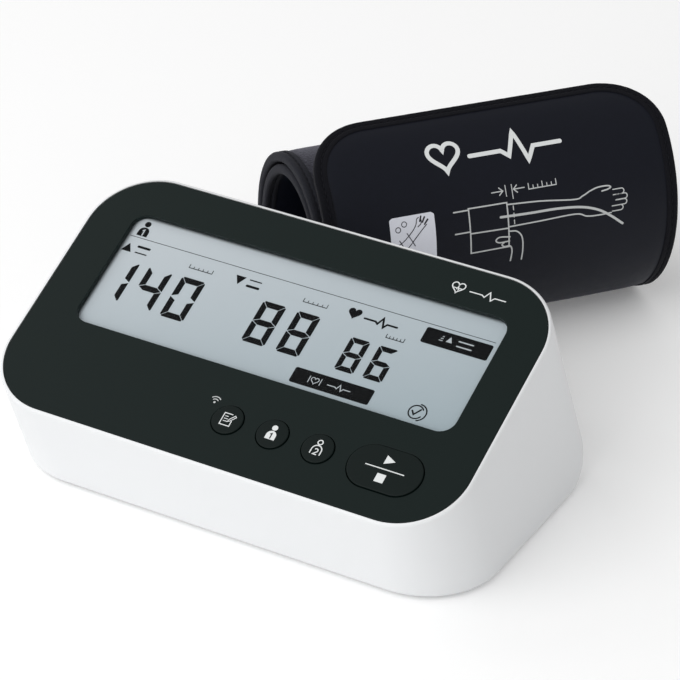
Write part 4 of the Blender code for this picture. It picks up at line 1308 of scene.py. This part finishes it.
def segment_digit(drawing, figure, low, wide, high, bar):
    """A seven-bar figure: bars of one width, mitred along the corners' diagonals, with fine gaps.

    The bars are worked out for one quarter, about the figure's middle, and mirrored.
    """
    half_x, half_y = wide / 2, high / 2
    middle_x, middle_y = low[0] + half_x, low[1] + half_y
    chamfer, gap = 0.36 * bar, 0.14
    level = [
        (half_x - chamfer, half_y),
        (half_x - chamfer / 2 - gap, half_y - chamfer / 2),
        (half_x - bar - gap, half_y - bar),
    ]
    upright = [
        (half_x, 0.18),
        (half_x, half_y - chamfer),
        (half_x - chamfer / 2, half_y - chamfer / 2 - gap),
        (half_x - bar, half_y - bar - gap),
        (half_x - bar, bar / 2 + 0.18),
    ]
    across = [(half_x - 0.3, 0.0), (half_x - bar - 0.12, bar / 2)]

    def mirrored(points, x, y):
        """Points with their signs turned across, up or both."""
        return [(px * x, py * y) for px, py in points]

    bars = {
        "a": level + mirrored(level, -1, 1)[::-1],
        "b": upright,
        "c": mirrored(upright, 1, -1),
        "d": mirrored(level, 1, -1) + mirrored(level, -1, -1)[::-1],
        "e": mirrored(upright, -1, -1),
        "f": mirrored(upright, -1, 1),
        "g": across
        + mirrored(across, -1, 1)[::-1]
        + mirrored(across[1:], -1, -1)
        + mirrored(across[1:], 1, -1),
    }
    for letter in SEGMENTS[figure]:
        outline = np.array(bars[letter])
        x, y = outline.T
        area = np.sum(x * np.roll(y, -1) - np.roll(x, -1) * y)
        drawing.fill((outline if area > 0 else outline[::-1]) + (middle_x, middle_y))


class MONITOR_OT_display(Operator):
    """Display face with seven-bar figures and plain symbols"""

    bl_idname = "monitor.display"
    bl_label = "Display"

    def execute(self, context):
        face = panel_middle("lcd_module")[2] + 1.3 * MM
        lift = 0.04 * MM

        def place(points):
            """Just over the display's face."""
            return on_panel(points, face + lift)

        def place_over(points):
            """Over the dark marks."""
            return on_panel(points, face + 2 * lift)

        figures = Drawing()
        for figure, left in zip("140", (-74.9, -60.9, -46.9)):
            segment_digit(figures, figure, (left, -0.9), 9.9, 18.3, 2.4)
        for left in (-12.7, 1.4):
            segment_digit(figures, "8", (left, -0.8), 9.5, 18.2, 2.4)
        for figure, left in zip("86", (25.3, 36.6)):
            segment_digit(figures, figure, (left, -0.9), 7.7, 14.4, 2.05)
        figures.lay("display_figures", place, "ink", "monitor", "display_grey")

        marks = Drawing()
        person(marks, (-71.2, 31.4), 1.08)
        self.above(marks, -75.6, 22.6, 1)
        self.above(marks, -27.9, 22.6, -1)
        marks.fill(heart((21.6, 22.7), 5.2))
        marks.stroke(beat(26.0, 39.0, 22.2, 2.2), 0.75)
        for left in (-46.6, 1.2):
            self.ruler(marks, left, 21.6)
        self.ruler(marks, 37.0, 17.2, 7.0)
        marks.patch((12.3, -10.9), (43.9, -4.4), 0.7)
        marks.patch((49.3, 19.6), (75.4, 26.3), 0.7)
        marks.ring((61.5, -7.7), 2.7, 0.5, 35.0, 330.0)
        marks.ring((62.0, -7.7), 3.4, 0.5, -70.0, 90.0)
        marks.stroke([(60.0, -7.5), (61.1, -8.9), (62.9, -6.3)], 0.62)
        marks.lay("display_marks", place, "ink", "monitor", "display_grey")

        rule = Drawing()
        rule.stroke([(-75.5, 27.7), (75.4, 27.7)], 0.22, round_ends=False)
        rule.lay("display_rule", place, "ink", "monitor", "display_grey")

        light = Drawing()
        digit_one(light, (-71.1, 30.1), 2.6, 0.5)
        light.stroke(heart((21.4, -7.9), 3.0), 0.3, closed=True)
        for side in (-1, 1):
            light.stroke([(21.4 + side * 2.3, -6.4), (21.4 + side * 2.3, -9.0)], 0.3)
        light.stroke(beat(26.5, 35.5, -7.8, 1.4), 0.35)
        light.fill([(58.2, 22.4), (60.6, 22.4), (59.4, 24.8)])
        for step in range(3):
            light.stroke([(55.6 + 0.4 * step, 22.4 + 0.9 * step), (56.9, 22.4 + 0.9 * step)], 0.3)
        for level in (24.0, 21.9):
            light.stroke([(62.8, level), (68.4, level)], 0.5)
        light.lay("display_light_marks", place_over, "display_light", "monitor", "display_grey")
        return {"FINISHED"}

    def above(self, marks, left, level, way):
        """A triangle that points up (way 1) or down (way -1), and two bars beside it."""
        foot, tip = level - 1.8 * way, level + 1.9 * way
        marks.fill([(left, foot), (left + 4.2, foot), (left + 2.1, tip)][::way])
        for shift, width in ((1.4, 1.0), (-1.3, 0.5)):
            bar = level + shift * way
            marks.stroke([(left + 6.0, bar), (left + 10.6, bar)], width)

    def ruler(self, marks, left, level, wide=9.6):
        """A small scale of ticks in place of a unit."""
        marks.stroke([(left, level), (left + wide, level)], 0.3)
        for step in range(6):
            x = left + wide * step / 5
            marks.stroke([(x, level), (x, level + (1.5 if step % 5 == 0 else 0.9))], 0.28)


class MONITOR_OT_symbols(Operator):
    """Printed symbols of the buttons and the panel"""

    bl_idname = "monitor.symbols"
    bl_label = "Button symbols"

    def execute(self, context):
        self.button("memory", self.notebook)
        self.button("user_1", lambda drawing: person(drawing, (0.0, 0.0), 0.95))
        self.button("user_2", self.second_user)
        self.button("start_stop", self.start_stop)
        one = Drawing()
        digit_one(one, (0.1, -1.1), 2.2, 0.45)
        self.lay_on_button("user_1", one, "user_1_figure", "button_plastic", 0.05 * MM)

        mark = Drawing()
        mark.disc((-7.4, -28.9), 0.42)
        mark.ring((-7.4, -28.9), 1.35, 0.36, 45.0, 135.0)
        mark.ring((-7.4, -28.9), 2.35, 0.36, 45.0, 135.0)
        mark.lay("wireless_mark", self.place, "print_grey", "monitor", "dark_panel")

        mark = Drawing()
        mark.stroke(heart((53.2, 43.5), 5.0), 0.42, closed=True)
        mark.stroke(beat(51.6, 54.8, 43.4, 1.1), 0.34)
        mark.stroke(beat(58.0, 72.0, 43.4, 1.9), 0.42)
        mark.lay("heart_mark", self.place, "print_white", "monitor", "dark_panel")
        return {"FINISHED"}

    def place(self, points):
        """Just over the panel's face."""
        return on_panel(points, 0.03 * MM)

    def button(self, name, draw):
        """A button's symbol, made by one of the drawing functions."""
        drawing = Drawing()
        draw(drawing)
        self.lay_on_button(name, drawing, f"{name}_symbol", "print_white", 0.025 * MM)

    def lay_on_button(self, name, drawing, piece, look, lift):
        """A drawing on the domed top of a button, raised by a lift."""
        centre = button_place(name)
        reach = np.abs(button_outline(name, 0.0)).max(0)

        def place(points):
            """The dome's height at each point's share of the way to the rim."""
            share = np.sqrt(((points / reach) ** 2).sum(-1))
            level = crown_height(share) + lift
            return panel_place(np.concatenate([points + centre, level[:, None]], -1))

        drawing.lay(piece, place, look, f"{name}_button", "dark_panel")

    def notebook(self, drawing):
        """A sheet with lines and a pencil across its corner."""
        drawing.stroke([(1.1, 2.3), (-2.0, 2.3), (-2.0, -2.5), (1.9, -2.5), (1.9, -0.4)], 0.36)
        for level in (1.1, 0.1, -0.9):
            drawing.stroke([(-1.2, level), (0.1 - 0.2 * level, level)], 0.28)
        pencil = [(0.5, -0.9), (0.7, 0.1), (2.3, 2.1), (2.9, 1.6), (1.3, -0.4)]
        drawing.stroke(pencil, 0.3, closed=True)

    def second_user(self, drawing):
        """An outlined person with a figure 2."""
        person(drawing, (0.0, 0.0), 0.95, 0.42)
        digit_two(drawing, (0.0, -1.5), 2.3, 0.4)

    def start_stop(self, drawing):
        """A start triangle over a line over a stop square."""
        drawing.fill([(-1.5, 1.9), (2.3, 3.75), (-1.5, 5.6)])
        drawing.stroke([(-7.5, 0.0), (7.5, 0.0)], 0.4, round_ends=False)
        drawing.fill([(-1.7, -5.4), (1.7, -5.4), (1.7, -2.0), (-1.7, -2.0)])


# Cuff -----------------------------------------------------------------------

FACE_DEPTH = 0.16 * MM  # of the cloth's fullest part
TAPE_DEPTH = 0.14 * MM  # of the tape's flat part, and of the velour's pile
TAPE_DENT = 0.5 * MM  # along the seam
TAPE_NOSE = 1.15 * MM  # radius of the tape's outer edge
COVER_BACK = 1.9 * MM  # depth of the inner side of the outer cloth
LINING_BACK = 2.4 * MM  # depth of the outer side of the lining
UNDER_TAPE = 0.9 * MM  # from the seam to the edge of the cloth
THREAD_RADIUS = 0.2 * MM
THREAD_DEPTH = 0.42 * MM
CLOTH_CREASE = 60.0


def spiral_radius(distance):
    """Outer radius of the roll, which grows evenly with the angle."""
    size = cuff_sizes()
    return size.radius + size.pitch * distance / FULL_TURN


def section(distance, depth):
    """Across and up of the rolled strip, from the roll's axis.

    The distance is the angle of the spiral as far as the flap's start, and past it the angle
    round the flap's own centre. The depth is measured inwards from the outer face.
    """
    size = cuff_sizes()
    start = size.flap_start
    distance, depth = np.broadcast_arrays(distance, depth)
    radius = spiral_radius(np.minimum(distance, start))
    on_flap = distance > start
    shift = np.where(on_flap, radius - size.flap_radius, 0.0)
    reach = np.where(on_flap, size.flap_radius, radius) - depth
    across = shift * math.cos(start) + reach * np.cos(distance)
    up = shift * math.sin(start) + reach * np.sin(distance)
    return across, up


def cuff_place(along, distance, depth):
    """World places of points of the strip: along the roll, round it and inwards."""
    joint = JOINTS["flap_peel"]
    axis = np.array(joint["axis"]) / np.linalg.norm(joint["axis"])
    front = np.cross(axis, UP)
    root = section(cuff_sizes().flap_start, 0.0)
    origin = np.array(joint["pos_m"]) - front * root[0] - UP * root[1]
    across, up = section(distance, depth)
    along = np.broadcast_to(along, across.shape)
    return origin + along[..., None] * axis + across[..., None] * front + up[..., None] * UP


def strip_span(part):
    """(start angle, end angle, length, radius) of the roll or the flap."""
    size = cuff_sizes()
    start = size.flap_start
    if part == "flap":
        end = start + size.flap_length / size.flap_radius
        return start, end, size.flap_length, size.flap_radius
    first = start - FULL_TURN * size.turns
    last = start - size.hinge_gap / size.radius
    mean = float(spiral_radius((first + last) / 2))
    return first, last, (last - first) * mean, mean


def to_angle(part, run):
    """The angle of a run of cloth. The flap runs from its root, the roll back from its root."""
    start, end, _, radius = strip_span(part)
    return start + run / radius if part == "flap" else end - run / radius


def edge_distance(along, run, total):
    """How far a point of the cloth lies inside its outline, which is rounded at its far end."""
    size = cuff_sizes()
    corner = size.corner
    side = np.abs(along) - (size.width / 2 - corner)
    end = run - (total - corner)
    outside = np.hypot(np.maximum(side, 0.0), np.maximum(end, 0.0))
    return corner - outside - np.minimum(np.maximum(side, end), 0.0)


def cloth_sheet(part, margin, outer, inner, rows, columns, lift):
    """A layer of the cuff as a closed sheet.

    Rows run round the roll and columns along it. At the rounded end the rows are drawn in to a
    circle. The outer face follows the lift function, and the inner face is flat.
    """
    size = cuff_sizes()
    total = strip_span(part)[2]
    corner = size.corner - margin
    length_of_run = total - margin
    plain = np.linspace(0.0, length_of_run - corner, rows)
    bend = length_of_run - corner + corner * np.sin(np.linspace(0.0, math.pi / 2, 22)[1:])
    run = np.concatenate([plain, bend])
    gap = (length_of_run - run).clip(0.0, corner)
    inset = corner - np.sqrt(np.maximum(corner**2 - (corner - gap) ** 2, 0.0))
    half = size.width / 2 - margin - inset
    ease = np.sin(np.linspace(-math.pi / 2, math.pi / 2, columns))
    share = 0.5 * ease + 0.5 * np.linspace(-1.0, 1.0, columns)
    along = half[:, None] * share
    run = np.repeat(run[:, None], columns, 1)
    distance = to_angle(part, run)
    top = cuff_place(along, distance, outer + lift(along, run, edge_distance(along, run, total)))
    bottom = cuff_place(along, distance, np.full(run.shape, inner))
    points = np.concatenate([top, bottom[:, ::-1]], 1)
    uv = np.stack([run, along], -1)
    surface = Surface()
    surface.grid(points, wrap_columns=True, cap=True, uv=np.concatenate([uv, uv[:, ::-1]], 1))
    return surface


def face_depth(along, run, inside):
    """Depth of the puffed cloth: sunk beside the tape, full further in, and barely uneven."""
    size = cuff_sizes()
    past_tape = inside - size.binding
    sunk = size.puff * np.exp(-np.maximum(past_tape, 0.0) / (2.6 * MM))
    uneven = 0.10 * MM * ripple(along, run, 62 * MM, 0.4)
    uneven = uneven + 0.03 * MM * ripple(along, run, 17 * MM, 2.0)
    return FACE_DEPTH + sunk + uneven * np.clip(past_tape / (8 * MM), 0.0, 1.0)


def edge_route(part, spacing):
    """The cuff's outline in its own flat plane: down one side, round the end and up the other.

    Gives the places (along, run), the inward directions and the distance from the start.
    """
    size = cuff_sizes()
    total = strip_span(part)[2]
    half = size.width / 2
    corner = size.corner
    straight = total - corner
    bend = corner * math.pi / 2
    across = size.width - 2 * corner
    marks = np.cumsum([0.0, straight, bend, across, bend, straight])
    at = np.linspace(0.0, marks[-1], int(marks[-1] / spacing) + 1)
    turn = ((at - marks[1]) / corner).clip(0.0, math.pi / 2)
    second = ((at - marks[3]) / corner).clip(0.0, math.pi / 2)
    heading = turn + second
    inward = np.stack([np.cos(heading), -np.sin(heading)], -1)
    centre_along = -(half - corner) + (at - marks[2]).clip(0.0, across)
    run_centre = at.clip(0.0, straight) - (at - marks[4]).clip(0.0, straight)
    places = np.stack([centre_along, run_centre], -1) - inward * corner
    return places, inward, at


def tape_profile(thickness):
    """The tape's section as (inwards from the edge, depth), with a dent along the seam."""
    size = cuff_sizes()
    wide = size.binding
    out, up = arc(90.0, 0.0, 6)
    nose = TAPE_NOSE * np.stack([1 - out, 1 - up], -1)
    across = np.linspace(wide - 0.25 * MM, TAPE_NOSE, 14)[:-1]
    dent = TAPE_DENT * np.exp(-(((across - size.seam) / (0.4 * MM)) ** 2))
    share = (across - TAPE_NOSE) / (wide - TAPE_NOSE)
    hollow = 0.14 * MM * (1.0 - np.sin(math.pi * share))
    lip = [[wide, 0.35 * MM]]
    outer = np.concatenate([lip, np.stack([across, dent + hollow], -1), nose])
    return np.concatenate([outer, outer[::-1] * (1.0, -1.0) + (0.0, thickness)])


def tape_piece(name, part, body, replaces):
    """The edge tape: its section carried round the cuff's outline, slightly uneven."""
    size = cuff_sizes()
    places, inward, at = edge_route(part, 0.9 * MM)
    profile = tape_profile(size.thickness)
    offset = places[:, None, :] + inward[:, None, :] * profile[None, :, :1]
    depth = np.repeat(profile[None, :, 1], len(at), 0)
    along = np.broadcast_to(at[:, None], depth.shape)
    shiver = 0.05 * MM * ripple(along, profile[None, :, 0] + 3 * depth, 4.2 * MM, 1.0)
    shiver = shiver + 0.06 * MM * ripple(along, 5 * depth, 31 * MM, 0.2)
    inwards = np.where(depth > size.thickness / 2, -1.0, 1.0)
    depth = depth + inwards * (TAPE_DEPTH + np.abs(shiver))
    grid = cuff_place(offset[..., 0], to_angle(part, offset[..., 1]), depth)
    steps = np.linalg.norm(np.diff(profile, axis=0), axis=1)
    around = np.concatenate([[0.0], np.cumsum(steps)])
    uv = np.stack(np.broadcast_arrays(at[:, None], around[None, :]), -1)
    surface = Surface()
    surface.grid(grid, wrap_columns=True, cap=True, uv=uv)
    # The roll's tape takes the paler copy of the tape's colour, a painted highlight.
    look = "roll_tape" if part == "roll" else "binding_tape"
    piece = surface.build(name, look, body, replaces, CLOTH_CREASE, "binding_tape")
    return piece


def stitch_piece(name, part, body):
    """Stitches along the tape's seam on both faces: short threads, thicker in the middle."""
    size = cuff_sizes()
    places, inward = (each[1:-1] for each in edge_route(part, size.stitch)[:2])
    seam = places + inward * size.seam
    way = leftwards(inward)
    share = np.linspace(-1.0, 1.0, 7)
    thick = THREAD_RADIUS * np.sqrt(1.02 - share**2)
    around = np.linspace(0.0, FULL_TURN, 6, endpoint=False)
    run = share * size.stitch * 0.36
    centre = seam[:, None, :] + way[:, None, :] * run[None, :, None]
    side = inward[:, None, None, :] * (thick[:, None] * np.cos(around))[None, :, :, None]
    spot = centre[:, :, None, :] + side
    surface = Surface()
    for face, outwards in ((THREAD_DEPTH, -1), (size.thickness - THREAD_DEPTH, 1)):
        level = face + outwards * 0.12 * MM * (1 - share**2)
        depth = level[:, None] + thick[:, None] * np.sin(around)
        depth = np.broadcast_to(depth[None], spot.shape[:3])
        points = cuff_place(spot[..., 0], to_angle(part, spot[..., 1]), depth)
        for stitch in points:
            surface.grid(stitch, wrap_columns=True, cap=True)
    return surface.build(name, "thread", body, (), CLOTH_CREASE, "binding_tape")


class CUFF_OT_roll(Operator):
    """The rolled part of the cuff: velour outside, satin lining, edge tape and stitches"""

    bl_idname = "cuff.roll"
    bl_label = "Cuff roll"

    def execute(self, context):
        size = cuff_sizes()
        margin = size.seam + UNDER_TAPE

        def nap(along, run, inside):
            """The puffed face with two sizes of tufts."""
            fuzz = 0.05 * MM * ripple(along, run, 2.3 * MM, 0.9)
            fuzz = fuzz + 0.04 * MM * ripple(run, along, 1.4 * MM, 2.2)
            return TAPE_DEPTH + face_depth(along, run, inside) + fuzz

        surface = cloth_sheet("roll", margin, 0.0, COVER_BACK, 520, 84, nap)
        cover = surface.build("velour_cover", "velour", "cuff", ("roll_cover",), CLOTH_CREASE)

        def plain(along, run, inside):
            """The puffed face, seen from the inside of the roll."""
            return -face_depth(along, run, inside)

        surface = cloth_sheet("roll", margin, size.thickness, LINING_BACK, 420, 60, plain)
        lining = surface.build(
            "satin_lining", "satin_cloth", "cuff", ("roll_lining",), CLOTH_CREASE
        )
        tape_piece("roll_tape", "roll", "cuff", ("roll_binding",))
        stitch_piece("roll_stitches", "roll", "cuff")
        return {"FINISHED"}


class CUFF_OT_flap(Operator):
    """The standing flap: satin face, hook-and-loop back, edge tape and stitches"""

    bl_idname = "cuff.flap"
    bl_label = "Cuff flap"

    def execute(self, context):
        size = cuff_sizes()
        margin = size.seam + UNDER_TAPE
        surface = cloth_sheet("flap", margin, 0.0, COVER_BACK, 110, 130, face_depth)
        face = surface.build("satin_flap", "satin_cloth", "flap", ("flap_cover",), CLOTH_CREASE)

        def hooks(along, run, inside):
            """The puffed back with fine hooks."""
            fine = 0.06 * MM * ripple(along, run, 2.1 * MM, 0.3)
            return -face_depth(along, run, inside) + fine

        surface = cloth_sheet("flap", margin, size.thickness, LINING_BACK, 110, 130, hooks)
        back = surface.build("hook_back", "velour", "flap", ("hook_patch",), CLOTH_CREASE)
        tape_piece("flap_tape", "flap", "flap", ("flap_binding",))
        stitch_piece("flap_stitches", "flap", "flap")
        return {"FINISHED"}


def flap_place(points, lift):
    """World places of (along, run) points on the puffed face of the flap, raised by a lift."""
    along, run = points[:, 0], points[:, 1]
    total = strip_span("flap")[2]
    depth = face_depth(along, run, edge_distance(along, run, total))
    return cuff_place(along, to_angle("flap", run), depth - lift)


class CUFF_OT_prints(Operator):
    """Printed pictogram, pulse mark and label of the flap, all of plain generic shapes"""

    bl_idname = "cuff.prints"
    bl_label = "Cuff prints"

    def execute(self, context):
        lines = Drawing()
        pen = 0.55
        lines.stroke([(-15.2, 60.8), (0.6, 60.6), (0.6, 43.0), (-15.1, 43.0)], pen, closed=True)
        lines.stroke([(-15.1, 51.0), (0.4, 50.6)], pen)
        for level in (60.3, 51.8):
            lines.stroke([(-21.3, level), (-15.6, level)], pen)
        arm_top = [(1.0, 59.8), (14.5, 58.9), (28.5, 57.2), (32.0, 58.0), (35.2, 59.4)]
        thumb = [(35.2, 59.4), (38.6, 60.3), (42.6, 60.3), (44.0, 59.6), (42.6, 58.9), (40.2, 58.6)]
        arm_low = [(1.0, 51.1), (14.0, 51.2), (28.5, 51.4), (33.3, 49.8), (38.0, 49.4)]
        for path in (arm_top, thumb, [*arm_low, (43.5, 49.5)]):
            lines.stroke(flowing(path), pen)
        for tip, level in ((49.4, 57.4), (50.6, 55.3), (50.3, 53.1), (48.6, 51.0)):
            lines.stroke(fingertip(tip, level), 0.42)
        for level in (57.4, 54.6, 51.9):
            lines.stroke([(3.1, level), (3.1, level + 1.5)], 0.4)
        for x, low, high in ((0.9, 63.0, 67.2), (3.5, 61.7, 67.1)):
            lines.stroke([(x, low), (x, high)], 0.35)
        for start, tip in ((-4.9, -0.3), (8.6, 4.1)):
            back = 1.5 if tip > start else -1.5
            lines.stroke([(start, 65.2), (tip, 65.2)], 0.42)
            lines.stroke([(tip - back, 66.6), (tip, 65.2), (tip - back, 63.8)], 0.42)
        lines.stroke([(10.4, 64.2), (21.8, 64.2)], 0.4)
        for step in range(7):
            x = 10.4 + 1.9 * step
            lines.stroke([(x, 64.2), (x, 66.4 if step % 3 == 0 else 65.5)], 0.35)
        for path in (
            [(1.0, 47.0), (-3.2, 47.5), (-4.8, 46.4), (-3.4, 45.3), (0.8, 45.3)],
            [(-1.0, 45.3), (-2.3, 44.3), (-1.3, 43.3), (1.0, 43.2), (1.9, 41.0), (1.5, 36.5)],
            [(1.0, 49.3), (4.0, 48.7), (6.0, 46.0), (6.4, 41.0), (6.1, 36.3)],
        ):
            lines.stroke(flowing(path), pen)
        self.lay(lines, "flap_lines", "print_grey")

        hose = Drawing()
        path = [(-2.4, 55.4), (10.0, 55.0), (21.5, 54.8), (31.0, 53.8)]
        path += [(38.0, 51.6), (43.4, 48.2), (48.3, 44.2)]
        hose.stroke(flowing(path), 0.95)
        self.lay(hose, "flap_hose_line", "print_grey", 0.085 * MM)

        pulse = Drawing()
        pulse.stroke(heart((-20.6, 81.6), 12.5), 1.7, closed=True)
        pulse.stroke(beat(-10.5, 27.0, 80.6, 7.0), 1.7)
        self.lay(pulse, "flap_pulse_mark", "print_white")

        label = Drawing()
        label.patch((-47.4, 43.6), (-29.2, 62.2), 1.3)
        self.lay(label, "flap_label", "label", 0.05 * MM, 0.03 * MM)

        sketch = Drawing()
        arm = [(-46.0, 50.8), (-42.4, 52.6), (-38.8, 55.8), (-37.0, 58.2), (-36.4, 60.3)]
        for path in (
            [*arm, (-35.6, 60.9)],
            [(-44.4, 47.6), (-40.6, 49.9), (-37.2, 53.4), (-34.6, 56.0), (-32.6, 57.8)],
            [(-36.2, 57.4), (-34.9, 58.4), (-34.6, 59.8)],
        ):
            sketch.stroke(flowing(path), 0.34)
        for finger in (
            [(-35.2, 59.4), (-34.6, 61.2)],
            [(-34.2, 58.9), (-33.2, 60.7)],
            [(-33.4, 58.0), (-32.0, 59.6)],
        ):
            sketch.stroke(finger, 0.62)
        for x, y in ((-44.0, 53.2), (-40.8, 55.6)):
            sketch.stroke([(x, y), (x + 3.0, y - 5.4)], 0.34)
        for centre in ((-44.2, 57.4), (-41.6, 59.2)):
            sketch.ring(centre, 1.0, 0.3)
        self.lay(sketch, "flap_label_sketch", "label_ink", 0.09 * MM)
        return {"FINISHED"}

    def lay(self, drawing, name, look, lift=0.05 * MM, thickness=0.02 * MM):
        """A drawing on the flap's face, raised by a lift."""

        def place(points):
            """Points of the drawing on the flap."""
            return flap_place(points, lift)

        drawing.lay(name, place, look, "flap", "satin_cloth", thickness)


class MONITOR_OT_finishes(Operator):
    """Gives every remaining piece its own finish"""

    bl_idname = "monitor.finishes"
    bl_label = "Finishes"

    def execute(self, context):
        slots = {part["node"]: part["material_slot"] for part in frame["record"]["subparts"]}
        for name, node in frame["nodes"].items():
            node.data.materials.clear()
            node.data.materials.append(MATERIALS[slots[name]])
        return {"FINISHED"}


# Stage ----------------------------------------------------------------------


class StageSettings(PropertyGroup):
    """Camera and light."""

    azimuth: angle("Azimuth", "Camera's turn about Z from the front", 29.377)
    elevation: angle("Elevation", "Camera's height over the horizon", 30.862)
    roll: angle("Roll", "Camera's roll", 0.695)
    distance: length("Distance", "Camera to the point it looks at", 1164.7)
    lens: FloatProperty(name="Lens", description="Focal length on a 36 mm sensor", default=167.31)
    aim: FloatVectorProperty(
        name="Aim",
        description="Point that the camera looks at",
        default=(-0.001071, -0.042281, 0.037305),
        subtype="XYZ",
    )
    key: FloatProperty(name="Key", description="Power of the large soft light", default=27.0)
    fill: FloatProperty(name="Fill", description="Power of the fill light", default=4.0)
    sky: FloatProperty(name="Sky", description="Strength of the even light", default=0.58)


class MONITOR_OT_stage(Operator):
    """Pale floor, soft studio light and the camera"""

    bl_idname = "monitor.stage"
    bl_label = "Stage"

    def execute(self, context):
        self.floor()
        self.camera(context)
        stage = context.scene.monitor_stage
        self.area("key_light", (-0.45, -1.6, 1.2), 2.0, stage.key)
        self.area("fill_light", (-1.5, 0.15, 1.25), 1.2, stage.fill)
        world = bpy.data.worlds.new("Even light")
        world.use_nodes = True
        background = world.node_tree.nodes["Background"]
        background.inputs["Color"].default_value = (1.0, 1.0, 1.0, 1.0)
        background.inputs["Strength"].default_value = stage.sky
        context.scene.world = world
        context.scene.view_settings.view_transform = "Standard"
        context.scene.view_settings.look = "None"
        return {"FINISHED"}

    def floor(self):
        """A round floor whose points lie on rings: radius grows by rows, angle by columns."""
        turn = np.linspace(0.0, FULL_TURN, 96, endpoint=False)
        radius = np.array([0.0, 0.5, 1.5, 4.0, 9.0])[:, None]
        surface = Surface()
        surface.grid(raised(bow((0.0, 0.0), radius, turn), CAD_BOX[0][2]), wrap_columns=True)
        mesh = surface.mesh("floor", closed=False)
        mesh.materials.append(MATERIALS["floor"])
        floor = put("floor", mesh)
        floor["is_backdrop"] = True

    def area(self, name, place, side, power):
        """A square light that faces the object."""
        data = bpy.data.lights.new(name, "AREA")
        data.size = side
        data.energy = power
        light = put(name, data)
        light.matrix_world = Matrix(facing(np.array(place), np.zeros(3), 0.0))

    def camera(self, context):
        """The camera looks along -Z of its own axes at the aim, from the azimuth and elevation."""
        stage = context.scene.monitor_stage
        side, front = math.sin(stage.azimuth), -math.cos(stage.azimuth)
        level, rise = math.cos(stage.elevation), math.sin(stage.elevation)
        back = np.array([side * level, front * level, rise])
        aim = np.array(stage.aim)
        data = bpy.data.cameras.new("camera")
        data.sensor_width = 36.0
        data.lens = stage.lens
        data.clip_end = 50.0
        camera = put("camera", data)
        camera.matrix_world = Matrix(facing(aim + back * stage.distance, aim, stage.roll))
        context.scene.camera = camera


def facing(place, target, roll):
    """Rows of the matrix that puts an object at a place, looking at a target along its own -Z."""
    back = (place - target) / np.linalg.norm(place - target)
    right = np.cross(UP, back)
    right /= np.linalg.norm(right)
    up = np.cross(back, right)
    turned_right = math.cos(roll) * right + math.sin(roll) * up
    turned_up = math.cos(roll) * up - math.sin(roll) * right
    rows = np.eye(4)
    rows[:3, 0], rows[:3, 1], rows[:3, 2], rows[:3, 3] = turned_right, turned_up, back, place
    return rows.tolist()


class MONITOR_PT_panel(Panel):
    """Lists the operators that build the object"""

    bl_idname = "MONITOR_PT_panel"
    bl_label = "Monitor and cuff"
    bl_space_type = "VIEW_3D"
    bl_region_type = "UI"
    bl_category = "Monitor"

    def draw(self, context):
        for operator in OPERATORS:
            self.layout.operator(operator.bl_idname)


OPERATORS = (
    MONITOR_OT_finishes,
    MONITOR_OT_housing,
    MONITOR_OT_underside,
    MONITOR_OT_sockets,
    MONITOR_OT_panel,
    MONITOR_OT_buttons,
    MONITOR_OT_display,
    MONITOR_OT_symbols,
    CUFF_OT_roll,
    CUFF_OT_flap,
    CUFF_OT_prints,
    MONITOR_OT_stage,
)
GROUPS = {
    "monitor_sizes": MonitorSizes,
    "cuff_sizes": CuffSizes,
    "monitor_colours": MonitorColours,
    "monitor_stage": StageSettings,
}


def register():
    """Registers the classes and hangs the groups on the scene."""
    for group in GROUPS.values():
        bpy.utils.register_class(group)
    for name, group in GROUPS.items():
        setattr(bpy.types.Scene, name, PointerProperty(type=group))
    for item in (*OPERATORS, MONITOR_PT_panel):
        bpy.utils.register_class(item)


def unregister():
    """Takes the groups and the classes away again."""
    for item in (MONITOR_PT_panel, *reversed(OPERATORS)):
        bpy.utils.unregister_class(item)
    for name, group in GROUPS.items():
        delattr(bpy.types.Scene, name)
        bpy.utils.unregister_class(group)


def main():
    """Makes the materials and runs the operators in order."""
    register()
    make_materials()
    for operator in OPERATORS:
        group, name = operator.bl_idname.split(".")
        getattr(getattr(bpy.ops, group), name)()
    boxes = {"cad": CAD_BOX, "visual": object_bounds()}
    boxes = {name: [list(corner) for corner in box] for name, box in boxes.items()}


if __name__ == "__main__":
    main()
